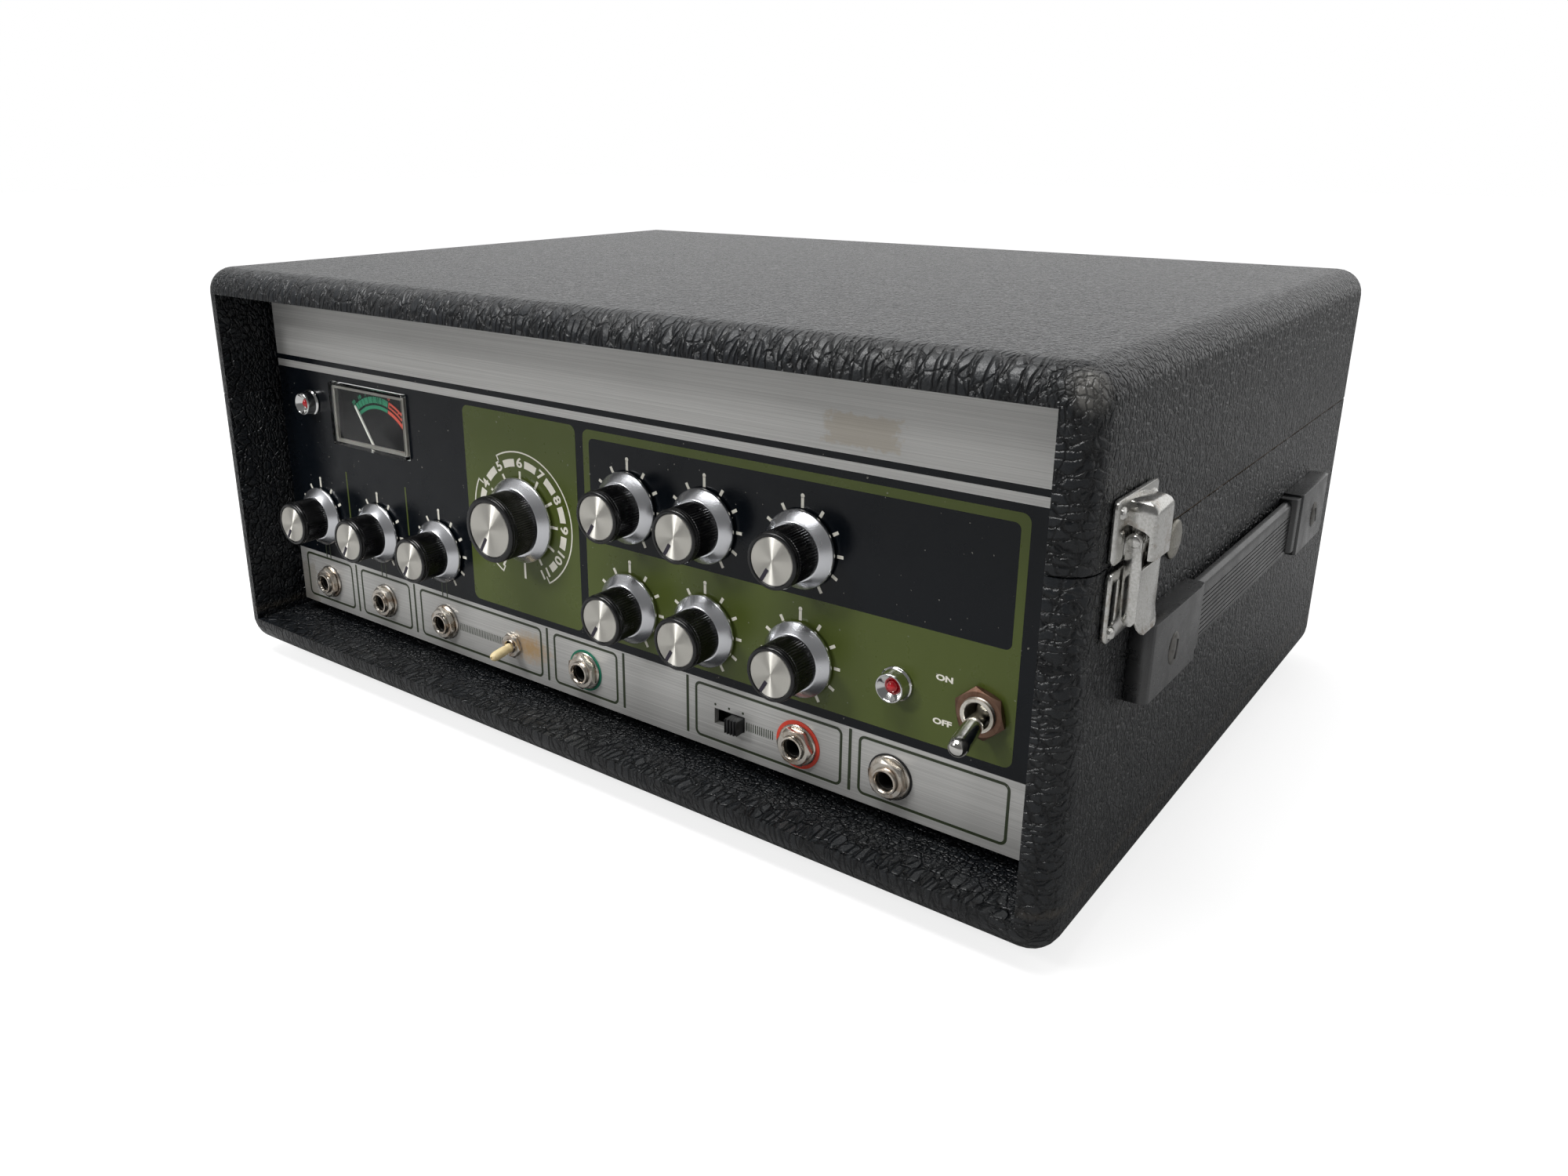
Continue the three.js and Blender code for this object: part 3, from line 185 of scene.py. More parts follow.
def make_piece(name, bm, finish, replaced=None, body="unit", smooth=30):
    """Turn a bmesh in millimetres into a piece that rides on a body."""
    bmesh.ops.scale(bm, vec=(MM, MM, MM), verts=bm.verts)
    mesh = bpy.data.meshes.new(name)
    bm.to_mesh(mesh)
    bm.free()
    mesh.shade_smooth()
    mesh.set_sharp_from_angle(angle=math.radians(smooth))
    for layer in finish if isinstance(finish, list) else [finish]:
        mesh.materials.append(layer)
    piece = bpy.data.objects.new(name, mesh)
    scene.collection.objects.link(piece)
    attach(piece, body)
    if replaced:
        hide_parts(replaced)


def refinish(node, finish):
    """Give a CAD node that stays in the picture its finish."""
    materials = bpy.data.objects[node].data.materials
    materials.clear()
    materials.append(finish)


def coordinates(shader, scale=(1, 1, 1)):
    """Object coordinates, stretched, for a pattern to read."""
    where = new_node(shader.id_data, "TexCoord", {}).outputs["Object"]
    return new_node(shader.id_data, "Mapping", {"Vector": where, "Scale": scale}).outputs["Vector"]


def noise(vector, scale, detail=3, roughness=0.55, distortion=0.0):
    """A noise value between 0 and 1."""
    numbers = {"Scale": scale, "Detail": detail, "Roughness": roughness, "Distortion": distortion}
    return new_node(vector.id_data, "TexNoise", {"Vector": vector, **numbers}).outputs["Fac"]


def mix(value, first, second):
    """A number between two numbers."""
    return new_node(value.id_data, "Mix", {"Factor": value, "A": first, "B": second}).outputs["Result"]


def blend(value, first, second):
    """A colour between two colours, or between a socket and a colour."""
    return new_node(value.id_data, "Mix", {"Factor": value, "A": first, "B": second},
                    data_type="RGBA").outputs["Result"]


def raise_surface(shader, height, distance, strength=1.0):
    """Feed a height to the shader as relief; the distance is in metres."""
    numbers = {"Distance": distance, "Strength": strength}
    bump = new_node(shader.id_data, "Bump", {"Height": height, **numbers})
    feed(shader, {"Normal": bump.outputs["Normal"]})


def crease_pattern(vector, sizes, width, turn=0.0):
    """Raised pads of a size in millimetres, 0 in the creases between them and 1 on top."""
    stretch = {"Rotation": (turn, turn, turn), "Scale": [1 / (size * MM) for size in sizes]}
    laid = new_node(vector.id_data, "Mapping", {"Vector": vector, **stretch}).outputs[0]
    crease = new_node(vector.id_data, "TexVoronoi", {"Vector": laid, "Scale": 1}, feature="DISTANCE_TO_EDGE")
    return spread(crease.outputs["Distance"], 0.0, width)


def leatherette():
    """Black coated cloth: raised pads between crooked creases with painted shade in them, folded over the
    front's rails and posts.
    """
    finish, shader = new_finish("leatherette", pad_black, 0.36)
    tree = shader.id_data
    vector = coordinates(shader)
    bend = new_node(tree, "TexNoise", {"Vector": vector, "Scale": 230, "Detail": 3}).outputs["Color"]
    bent, less_bent = (
        new_node(tree, "VectorMath", {0: bend, 1: (reach, reach, reach), 2: vector},
                 operation="MULTIPLY_ADD").outputs[0]
        for reach in (wide_bend, slight_bend))
    axes = new_node(tree, "SeparateXYZ", {0: vector}).outputs
    side, depth, row = calculate("ABSOLUTE", axes["X"]), axes["Y"], axes["Z"]

    # The front's posts and rails are masks with soft edges, in metres
    post = times(spread(depth, -0.149, -0.144, 1, 0), spread(side, 0.186, 0.19))
    post = times(post, spread(row, 0.165, 0.172, 1, 0))
    rail = times(spread(depth, -0.146, -0.136, 1, 0), spread(side, 0.188, 0.194, 1, 0))
    pads = mix(rail, crease_pattern(bent, pad_size, 0.2), crease_pattern(less_bent, rail_fold_size, 0.16))
    pads = mix(post, pads, crease_pattern(bent, post_fold_size, 0.15))
    wide = crease_pattern(bent, wide_pad_size, 0.09, 0.6)
    tooth = noise(vector, 1100, 3, 0.65)
    height = calculate("ADD", calculate("ADD", pads, times(wide, 0.8)), times(tooth, 0.35))
    raise_surface(shader, height, 0.00042)

    # Painted shade: the creases, and more faintly the wide creases, are coloured near black as if shaded
    deep = times(pads, spread(wide, 0, 1, 0.35, 1))
    colour = blend(deep, crease_painted_shade, pad_black)
    dust = times(spread(noise(vector, 24, 6, 0.65), 0.45, 0.8, 0, 0.3), deep)
    colour = blend(dust, colour, dust_grey)
    corner = new_node(tree, "VectorMath", {0: vector, 1: worn_corner}, operation="DISTANCE").outputs["Value"]
    scuff = times(spread(corner, 0.003, 0.012, 1, 0), noise(vector, 75, 6, 0.62))
    worn = times(spread(scuff, 0.2, 0.5, 0, 0.8), spread(pads, 0, 1, 0.45, 1))
    colour = blend(worn, colour, worn_grey)
    sill = times(spread(row, 0.0235, 0.0265, 1, 0), spread(row, 0.0215, 0.0235))
    dirt = times(sill, spread(noise(vector, 130, 6, 0.7), 0.35, 0.7, 0, 0.7))
    feed(shader, {"Base Color": blend(dirt, colour, sill_dirt), "Specular IOR Level": 0.34,
                  "Roughness": spread(tooth, 0.3, 0.7, 0.25, 0.38)})
    return finish


case_finish = leatherette()
wood_finish, shader = new_finish("bare_plywood", (0.3, 0.2, 0.11), 0.7)
grain = noise(coordinates(shader, (4, 60, 300)), 3, 5)
feed(shader, {"Base Color": blend(grain, (0.22, 0.14, 0.07), (0.4, 0.28, 0.16))})


def ease(bm, edges, offset, segments, clamp=False):
    """Round some edges off."""
    bmesh.ops.bevel(bm, geom=edges, offset=offset, segments=segments, profile=0.5, affect="EDGES",
                    material=-1, clamp_overlap=clamp)


def case_box():
    """The whole case in one piece: a box, its front inset by the walls and pushed back, edges rolled."""
    bm = bmesh.new()
    bmesh.ops.create_cube(bm, size=1)
    bmesh.ops.scale(bm, vec=(case_width, case_depth, case_height), verts=bm.verts)
    bmesh.ops.translate(bm, vec=(0, 0, foot_height + case_height / 2), verts=bm.verts)
    outer_edges = list(bm.edges)
    front = next(face for face in bm.faces if face.normal.y < -0.5)
    bmesh.ops.inset_region(bm, faces=[front], thickness=wall)
    for vertex in front.verts:
        if vertex.co.z < seam_z:
            vertex.co.z += floor_wall - wall
    pushed = bmesh.ops.extrude_face_region(bm, geom=[front])
    moved = [item for item in pushed["geom"] if isinstance(item, bmesh.types.BMVert)]
    bmesh.ops.translate(bm, vec=(0, case_depth - wall, 0), verts=moved)
    if front.is_valid:
        bmesh.ops.delete(bm, geom=[front], context="FACES")
    ease(bm, outer_edges, outer_round, 7)
    rim = [
        edge for edge in bm.edges
        if all(abs(v.co.y - front_y) < near and abs(v.co.x) < inner_half + near
               and inner_low - near < v.co.z < inner_high + near for v in edge.verts)
    ]
    ease(bm, rim, inner_round, 5)
    return bm


def saw(bm, height, keep_above):
    """Cut the case level at a height, close the cut face and ease its edges."""
    result = bmesh.ops.bisect_plane(
        bm, geom=bm.verts[:] + bm.edges[:] + bm.faces[:], plane_co=(0, 0, height), plane_no=(0, 0, 1),
        clear_inner=keep_above, clear_outer=not keep_above)
    cut = [item for item in result["geom_cut"] if isinstance(item, bmesh.types.BMEdge)]
    made = bmesh.ops.contextual_create(bm, geom=cut)
    bmesh.ops.recalc_face_normals(bm, faces=bm.faces)
    ease(bm, list({edge for face in made["faces"] for edge in face.edges}), seam_round, 2, True)


def back_faces(bm):
    """The faces on both sides of the case's back wall."""
    return [face for face in bm.faces
            if abs(face.normal.y) > 0.99 and face.calc_center_median().y > back_y - wall - 1]


def open_back(bm):
    """Cut the window for the rear panel through the back wall, and line its edges."""
    for place, normal in (((-opening_half, 0, 0), (1, 0, 0)), ((opening_half, 0, 0), (1, 0, 0)),
                          ((0, 0, opening_low), (0, 0, 1)), ((0, 0, opening_high), (0, 0, 1))):
        faces = back_faces(bm)
        edges = {edge for face in faces for edge in face.edges}
        verts = {vertex for face in faces for vertex in face.verts}
        bmesh.ops.bisect_plane(bm, geom=[*verts, *edges, *faces], plane_co=place, plane_no=normal)
    window = [
        face for face in back_faces(bm)
        if abs(face.calc_center_median().x) < opening_half
        and opening_low < face.calc_center_median().z < opening_high
    ]
    rims = [edge for face in window for edge in face.edges]
    bmesh.ops.delete(bm, geom=window, context="FACES_ONLY")
    bmesh.ops.bridge_loops(bm, edges=rims)


def bare_inside(bm):
    """Leave the plywood bare behind the front panel."""
    bmesh.ops.bisect_plane(bm, geom=bm.verts[:] + bm.edges[:] + bm.faces[:], plane_co=(0, bare_y, 0),
                           plane_no=(0, 1, 0))
    for face in bm.faces:
        x, y, z = face.calc_center_median()
        across = abs(x) < inner_half + 0.1 and bare_y < y < back_y - wall + 0.1
        face.material_index = int(across and inner_low - 0.1 < z < inner_high + 0.1)


bm = case_box()
saw(bm, seam_z - seam_half_gap, keep_above=False)
open_back(bm)
bare_inside(bm)
make_piece("case_lower_cover", bm, [case_finish, wood_finish], "lower_case")
bm = case_box()
saw(bm, seam_z + seam_half_gap, keep_above=True)
bare_inside(bm)
make_piece("case_lid_cover", bm, [case_finish, wood_finish], "upper_lid", "lid")

# Front panel
# One sheet of horizontally brushed aluminium, set back in the case. It is silk-screened in
# black, green and cream, each colour a film of ink on the one below.
FRONT = Matrix.Translation((0, panel_y, foot_height)) @ Matrix.Rotation(math.radians(90), 4, "X")
panel_half = 191
field_low, field_high = 44.4, 138.2
stripe_low, stripe_high = 132.7, 135.9
mode_block = (-63.8, -0.6, 47.3, 130.5)
green_frame = (3.3, 181.5, 47.8, 130.0)
black_inset = (6.4, 178.5, 86.7, 126.8)
meter_window = (-151.9, -99.7, 101.0, 130.0)
block_round, inset_round, window_round = 3.0, 2.2, 0.6
switch_bore, lamp_bore, shaft_bore = 6.2, 4.9, 3.4
ink_foot, ink_step = 0.01, 0.03
small_knobs = {
    "mic_1": (-168, 63.9), "mic_2": (-126, 63.9), "instrument": (-84, 63.9), "bass": (25.3, 103.5),
    "treble": (61.3, 103.5), "reverb_volume": (102.4, 103.5), "repeat_rate": (25.3, 63.9),
    "intensity": (61.3, 63.9), "echo_volume": (102.4, 63.9),
}
mode_place = (-31.9, 87.8)
power_switch_place, pad_switch_place = (170.5, 64.3), (-42, 31)
lamp_places = {"power": (140.3, 65.3), "peak": (-168, 118)}
divider_x, divider_rows, divider_half = (-147.3, -105.3), (66.5, 88.5), 0.45
# Tape residue, glue and dirt: middle, reach, colour, strength, and whether it fades out softly
panel_stains = (
    ((124, panel_y, 153), (13, 3, 5), (0.50, 0.42, 0.30), 0.4, False),
    ((-32, panel_y, 39), (13, 9, 7), (0.62, 0.40, 0.18), 0.85, True),
    ((-186, panel_y, 30), (6, 3, 14), (0.30, 0.26, 0.20), 0.45, False),
)
stain_rags = 1.3


def box(x0, x1, z0, z1):
    """A rectangle as a ring of points."""
    return [(x0, z0), (x1, z0), (x1, z1), (x0, z1)]


def spoke(x, z, radius, angle):
    """A point beside a centre; the angle is in radians, anticlockwise from the first axis."""
    return x + radius * math.cos(angle), z + radius * math.sin(angle)


def round_box(x0, x1, z0, z1, radius, steps=6):
    """A rectangle with rounded corners, as a ring of points."""
    corners = ((x1 - radius, z0 + radius, -90), (x1 - radius, z1 - radius, 0),
               (x0 + radius, z1 - radius, 90), (x0 + radius, z0 + radius, 180))
    return [spoke(x, z, radius, math.radians(start + 90 * step / steps))
            for x, z, start in corners for step in range(steps + 1)]


def around(x, z, radius, turn):
    """A point beside a centre; the turn is in degrees, clockwise from twelve o'clock."""
    return spoke(x, z, radius, math.radians(90 - turn))


def round_line(x, z, radius, steps=48):
    """A circle as a ring of points."""
    return [spoke(x, z, radius, math.tau * i / steps) for i in range(steps)]


def arc_band(x, z, inner, outer, start, end, steps):
    """Part of a ring, from one turn to another."""
    turns = [start + (end - start) * i / steps for i in range(steps + 1)]
    return [around(x, z, outer, turn) for turn in turns] + [around(x, z, inner, turn) for turn in turns[::-1]]


def sheet(bm, outlines, low, high, place):
    """A flat plate: the first outline is its edge, the others are holes."""
    edges = []
    for outline in outlines:
        ring = [bm.verts.new((x, z, low)) for x, z in outline]
        edges += [bm.edges.new((a, b)) for a, b in zip(ring, ring[1:] + ring[:1])]
    made = bmesh.ops.triangle_fill(bm, use_beauty=True, use_dissolve=True, edges=edges)
    faces = [item for item in made["geom"] if isinstance(item, bmesh.types.BMFace)]
    lifted = bmesh.ops.extrude_face_region(bm, geom=faces, use_keep_orig=True)
    top = [item for item in lifted["geom"] if isinstance(item, bmesh.types.BMVert)]
    bmesh.ops.translate(bm, vec=(0, 0, high - low), verts=top)
    every = {vertex for face in faces for vertex in face.verts} | set(top)
    bmesh.ops.recalc_face_normals(bm, faces=list({face for vertex in every for face in vertex.link_faces}))
    bmesh.ops.transform(bm, matrix=place, verts=list(every))


def at(face, x, z, out=0):
    """A place on one of the case's faces."""
    return face @ Matrix.Translation((x, z, out))


def print_film(bm, layer, *outlines):
    """A film of ink on the panel, on top of the layers below it."""
    sheet(bm, outlines, max(ink_foot, layer * ink_step), (layer + 1) * ink_step, FRONT)


def bar(x, z, length, width, turn):
    """A short stroke about its own middle, turned clockwise from upright."""
    angle = math.radians(-turn)
    along = (-math.sin(angle), math.cos(angle))
    across = (math.cos(angle), math.sin(angle))
    return [(x + a * length / 2 * along[0] + b * width / 2 * across[0],
             z + a * length / 2 * along[1] + b * width / 2 * across[1])
            for a, b in ((-1, -1), (-1, 1), (1, 1), (1, -1))]


def ray_bar(x, z, inner, outer, turn, width):
    """A stroke that points away from a centre, between two radii."""
    return bar(*around(x, z, (inner + outer) / 2, turn), outer - inner, width, turn)


def figures(bm, words, size, place, height, turn=0.0, widen=1.25, boldness=0.03):
    """Generic figures and ON or OFF, as thin ink around their own middle."""
    curve = bpy.data.curves.new("figures", "FONT")
    curve.body = words
    curve.resolution_u = 5
    curve.size = size
    curve.align_x = "CENTER"
    curve.align_y = "CENTER"
    curve.offset = size * boldness
    holder = bpy.data.objects.new("figures", curve)
    scene.collection.objects.link(holder)
    bpy.context.view_layer.update()
    flat = bpy.data.meshes.new_from_object(holder.evaluated_get(bpy.context.evaluated_depsgraph_get()))
    bpy.data.objects.remove(holder)
    bpy.data.curves.remove(curve)
    old = set(bm.verts)
    bm.from_mesh(flat)
    bpy.data.meshes.remove(flat)
    fresh = [vertex for vertex in bm.verts if vertex not in old]
    set_in = at(FRONT, *place, height) @ Matrix.Rotation(math.radians(-turn), 4, "Z")
    bmesh.ops.transform(bm, matrix=set_in @ Matrix.Diagonal((widen, 1, 1, 1)), verts=fresh)


def ink(name, colour, roughness, shine=0.5):
    """Screen-printed ink: nearly even, with a slight tooth, dust and fine rubs."""
    finish, shader = new_finish(name, colour, roughness)
    vector = coordinates(shader)
    dust = spread(noise(vector, 22, 5), 0.4, 0.8, 0, 0.2)
    pale = [min(1, channel * 1.25 + 0.004) for channel in colour]
    speck = spread(noise(vector, 700, 1), 0.775, 0.79, 0, 0.5)
    rub = spread(noise(vector, 90, 4), 0.3, 0.7, roughness - 0.06, roughness + 0.1)
    feed(shader, {"Base Color": blend(speck, blend(dust, colour, pale), (0.35, 0.34, 0.30)),
                  "Roughness": rub, "Specular IOR Level": shine})
    raise_surface(shader, noise(vector, 2600, 2), 0.00002, 0.25)
    return finish


def brushed_metal(name, colour, roughness, grain=(2, 900, 900), anisotropy=0.0):
    """Metal with fine parallel scratches along one axis, and a few dull patches."""
    finish, shader = new_finish(name, colour, roughness, 1.0)
    if anisotropy:
        along = new_node(shader.id_data, "Tangent", {}, direction_type="RADIAL", axis="Z")
        feed(shader, {"Anisotropic": anisotropy, "Tangent": along.outputs["Tangent"]})
    scratch = noise(coordinates(shader, grain), 4, 3, 0.7)
    dull = noise(coordinates(shader), 14, 4)
    dark = [channel * 0.68 for channel in colour]
    uneven = calculate("ADD", times(scratch, 0.6), times(dull, 0.4))
    feed(shader, {"Base Color": blend(spread(scratch, 0.3, 0.7), dark, colour),
                  "Roughness": spread(uneven, 0.3, 0.7, roughness - 0.08, roughness + 0.12)})
    raise_surface(shader, scratch, 0.000012, 0.6)
    return finish


def stain_mask(vector, centre, reach, soft):
    """A stained place, in millimetres: 1 near its centre, 0 past its ragged edge."""
    tree = vector.id_data
    local = new_node(tree, "Mapping", {
        "Vector": vector, "Location": [-c / r for c, r in zip(centre, reach)],
        "Scale": [1 / (r * MM) for r in reach]}).outputs[0]
    if soft:
        far = new_node(tree, "VectorMath", {0: local}, operation="LENGTH").outputs["Value"]
    else:
        size = new_node(tree, "VectorMath", {0: local}, operation="ABSOLUTE").outputs[0]
        axes = new_node(tree, "SeparateXYZ", {0: size}).outputs
        far = calculate("MAXIMUM", axes[0], calculate("MAXIMUM", axes[1], axes[2]))
    edge = calculate("ADD", far, times(noise(vector, 420, 5, 0.6), stain_rags))
    full = 0.2 if soft else 0.9
    return spread(edge, full + stain_rags / 2, 1.1 + stain_rags / 2, 1, 0)


def stained_panel():
    """The panel's aluminium, brushed along x, with its stains."""
    finish = brushed_metal("brushed_aluminium", (0.655, 0.65, 0.63), 0.36, anisotropy=0.75)
    shader = finish.node_tree.nodes["Principled BSDF"]
    vector = coordinates(shader)
    for centre, reach, stain, strength, soft in panel_stains:
        mark = times(stain_mask(vector, centre, reach, soft), strength)
        colour, roughness = (shader.inputs[key].links[0].from_socket for key in ("Base Color", "Roughness"))
        feed(shader, {"Base Color": blend(mark, colour, stain), "Roughness": mix(mark, roughness, 0.75),
                      "Metallic": 0.45})
    return finish


refinish("front_panel", stained_panel())
black_ink = ink("black_ink", (0.0028, 0.0044, 0.0068), 0.2, 0.25)
green_ink = ink("green_ink", (0.080, 0.104, 0.020), 0.3, 0.35)
cream_ink = ink("cream_ink", (0.86, 0.83, 0.73), 0.45)
line_ink = ink("dark_green_ink", (0.020, 0.030, 0.010), 0.4)

switch_hole = round_line(*power_switch_place, switch_bore)
lamp_holes = {name: round_line(*place, lamp_bore, 24) for name, place in lamp_places.items()}
shaft_holes = {name: round_line(*place, shaft_bore, 20) for name, place in small_knobs.items()}
mode_hole = round_line(*mode_place, shaft_bore, 20)
upper_holes = [shaft_holes[name] for name in ("bass", "treble", "reverb_volume")]
lower_holes = [shaft_holes[name] for name in ("repeat_rate", "intensity", "echo_volume")]

bm = bmesh.new()
print_film(bm, 0, box(-panel_half, panel_half, field_low, stripe_low),
           round_box(*meter_window, window_round, 2), switch_hole, *lamp_holes.values(),
           *shaft_holes.values(), mode_hole)
print_film(bm, 0, box(-panel_half, panel_half, stripe_high, field_high))
make_piece("panel_black_print", bm, black_ink)
bm = bmesh.new()
print_film(bm, 1, round_box(*mode_block, block_round), mode_hole)
print_film(bm, 1, round_box(*green_frame, block_round), switch_hole, lamp_holes["power"],
           *upper_holes, *lower_holes)
for x in divider_x:
    print_film(bm, 1, round_box(x - divider_half, x + divider_half, *divider_rows, 0.1, 1))
make_piece("panel_green_print", bm, green_ink)
bm = bmesh.new()
print_film(bm, 2, round_box(*black_inset, inset_round), *upper_holes)
make_piece("panel_inset_print", bm, black_ink)

# Cream print
# Ticks round each knob, the number ring of the mode selector and the switch's words, printed last.
tick_width, fine_width = 1.15, 0.6
small_tick, small_top_tick, top_dot = (13.9, 16.3), (13.9, 17.6), 0.75
mode_tick, mode_low_tick = (16.3, 19.9), (18.3, 25.0)
ring_inner, ring_outer, ring_middle = 21.6, 24.7, 23.2
outer_line, outer_spans, hook = (27.3, 27.9), ((-152, -62), (-28, 150)), 2.6
number_pitch, number_size = 30, 5.4
band_gap, wide_band_gap = 7, 10
switch_words, word_size = {"ON": (157.2, 71.6), "OFF": (157.2, 56.4)}, 2.7

bm = bmesh.new()
for x, z in small_knobs.values():
    for turn in range(-150, 151, 30):
        reach = small_top_tick if turn == 0 else small_tick
        print_film(bm, 3, ray_bar(x, z, *reach, turn, tick_width))
    print_film(bm, 3, round_line(x, z + small_top_tick[1] + 0.5, top_dot, 16))
for turn in range(-150, 151, 30):
    print_film(bm, 3, ray_bar(*mode_place, *mode_tick, turn, tick_width))
print_film(bm, 3, ray_bar(*mode_place, *mode_low_tick, 180, tick_width))
for number in range(1, 11):
    # Figures with two digits take more of the ring than the others
    turn = -180 + number_pitch * number
    start = turn + (band_gap if number < 10 else wide_band_gap)
    end = turn + number_pitch - (band_gap if number < 9 else wide_band_gap)
    print_film(bm, 3, arc_band(*mode_place, ring_inner, ring_outer, start, end, 8))
for span in outer_spans:
    print_film(bm, 3, arc_band(*mode_place, *outer_line, *span, 40))
    for turn in span:
        print_film(bm, 3, ray_bar(*mode_place, outer_line[0] - hook, outer_line[1], turn, fine_width))
for number in range(1, 12):
    turn = -180 + number_pitch * number
    figures(bm, str(number), number_size, around(*mode_place, ring_middle, turn), 4 * ink_step, turn)
for words, place in switch_words.items():
    figures(bm, words, word_size, place, 4 * ink_step, widen=1.4, boldness=0.045)
make_piece("panel_cream_print", bm, cream_ink)

# Strip print
# Dark green frames round each group of jacks on the bare bottom strip, with bars between them,
# stems up to the knobs, and hatching and three dots beside the switches.
strip_frames = (
    (-186.3, -150.5), (-144, -108.4), (-101.5, -24.5), (-17.7, 17.4), (56.2, 120.5), (126.9, 181.9),
)
frame_low, frame_high, frame_round, line_width = 20.6, 42.8, 2.6, 1.05
strip_bars, bar_half, bar_rows = (-147.3, -105.2, -21.3, 20.5, 52.6, 123.6), 0.6, (20.5, 43.8)
stem_x, stem_half, stem_line_half, stem_top = (-168, -126, -84), 1.5, 0.35, 50.5
hatch_spans, hatch_rows = ((-75.5, -47.5), (79.9, 93.2)), (29.2, 32.6)
hatch_pitch, hatch_width = 0.95, 0.4
dot_x, dot_row, dot_radius = (65.7, 72, 78.3), 35.6, 0.5

bm = bmesh.new()
for left, right in strip_frames:
    inner = (left + line_width, right - line_width, frame_low + line_width, frame_high - line_width)
    print_film(bm, 0, round_box(left, right, frame_low, frame_high, frame_round),
               round_box(*inner, frame_round - line_width))
for x in strip_bars:
    print_film(bm, 0, round_box(x - bar_half, x + bar_half, *bar_rows, 0.2, 1))
for x in stem_x:
    for left in (x - stem_half, x + stem_half):
        print_film(bm, 1, round_box(left - stem_line_half, left + stem_line_half, frame_high - 0.2,
                                    stem_top, 0.1, 1))
for start, end in hatch_spans:
    for step in range(int((end - start) / hatch_pitch)):
        x = start + step * hatch_pitch
        print_film(bm, 0, box(x, x + hatch_width, *hatch_rows))
for x in dot_x:
    print_film(bm, 0, round_line(x, dot_row, dot_radius, 12))
make_piece("panel_line_print", bm, line_ink)

# Knobs
# Each is a spun aluminium skirt under a black moulded grip with fine ribs and a smooth bead, and a
# turned aluminium cap let into its face, with one dark filled line as its pointer.
small_size = {"skirt": 13.8, "step": 10.2, "grip": 9.75, "cap": 8.2, "top": 17.5, "ribs": 60}
mode_size = {"skirt": 17.5, "step": 13.9, "grip": 13.2, "cap": 10.9, "top": 17.8, "ribs": 84}
rib_depth, rib_shares = 0.34, (1, 0.35, 0, 0.35)
pointer_half, rest_turn = 0.68, 150


def skin(bm, rings, place, closed=False, capped=False):
    """A surface through rings of points that all have the same count."""
    made = [[bm.verts.new(point) for point in ring] for ring in rings]
    faces = []
    for low, high in list(zip(made, made[1:])) + ([(made[-1], made[0])] if closed else []):
        for i in range(len(low)):
            j = (i + 1) % len(low)
            faces.append(bm.faces.new((low[i], low[j], high[j], high[i])))
    if capped:
        faces += [bm.faces.new(reversed(made[0])), bm.faces.new(made[-1])]
    bmesh.ops.recalc_face_normals(bm, faces=faces)
    bmesh.ops.transform(bm, matrix=place, verts=[vertex for ring in made for vertex in ring])


def eased(points, radius, steps=3):
    """A profile with its inner corners rounded."""
    points = [Vector(point) for point in points]
    result = [points[0]]
    for before, corner, after in zip(points, points[1:], points[2:]):
        reach = min(radius, (before - corner).length * 0.45, (after - corner).length * 0.45)
        first = corner + (before - corner).normalized() * reach
        last = corner + (after - corner).normalized() * reach
        for step in range(steps + 1):
            t = step / steps
            result.append(first * (1 - t) ** 2 + corner * 2 * t * (1 - t) + last * t * t)
    return [tuple(point) for point in (*result, points[-1])]


def turned(bm, profile, place, sides=56, polar=None):
    """Spin a profile of (radius, height) about its own axis, and set it in place."""
    old = set(bm.verts)
    verts = [bm.verts.new((radius, 0, height)) for radius, height in profile]
    edges = [bm.edges.new(pair) for pair in zip(verts, verts[1:])]
    bmesh.ops.spin(bm, geom=verts + edges, cent=(0, 0, 0), axis=(0, 0, 1), dvec=(0, 0, 0),
                   angle=math.tau, steps=sides, use_merge=True)
    bmesh.ops.remove_doubles(bm, verts=[vertex for vertex in bm.verts if vertex not in old], dist=0.0001)
    fresh = [vertex for vertex in bm.verts if vertex not in old]
    faces = list({face for vertex in fresh for face in vertex.link_faces})
    bmesh.ops.recalc_face_normals(bm, faces=faces)
    if polar:
        layer = bm.loops.layers.uv.get("turning") or bm.loops.layers.uv.new("turning")
        for face in faces:
            middle = face.calc_center_median()
            base = math.atan2(middle.y, middle.x)
            for loop in face.loops:
                co = loop.vert.co
                radius = math.hypot(co.x, co.y)
                angle = base if radius < 0.001 else math.atan2(co.y, co.x)
                angle += math.tau * round((base - angle) / math.tau)
                loop[layer].uv = (angle / math.tau, radius / polar)
    bmesh.ops.transform(bm, matrix=place, verts=fresh)


def spun_metal(name, colour, roughness, anisotropy, grain_turn=0.0):
    """Turned metal: fine rings of tool marks that throw the light out in a fan."""
    finish, shader = new_finish(name, colour, roughness, 1.0)
    tree = shader.id_data
    along = new_node(tree, "Tangent", {}, direction_type="UV_MAP", uv_map="turning").outputs["Tangent"]
    where = new_node(tree, "UVMap", {}, uv_map="turning").outputs["UV"]
    laid = new_node(tree, "Mapping", {"Vector": where, "Scale": (0.01, 160, 1)}).outputs["Vector"]
    rings = noise(laid, 1.0, 2)
    dull = noise(coordinates(shader), 60, 3)
    dark = [channel * 0.93 for channel in colour]
    feed(shader, {"Anisotropic": anisotropy, "Anisotropic Rotation": grain_turn, "Tangent": along,
                  "Base Color": blend(spread(rings, 0.3, 0.7), dark, colour),
                  "Roughness": spread(dull, 0.3, 0.7, roughness - 0.02, roughness + 0.03)})
    raise_surface(shader, rings, 0.000003, 0.4)
    return finish


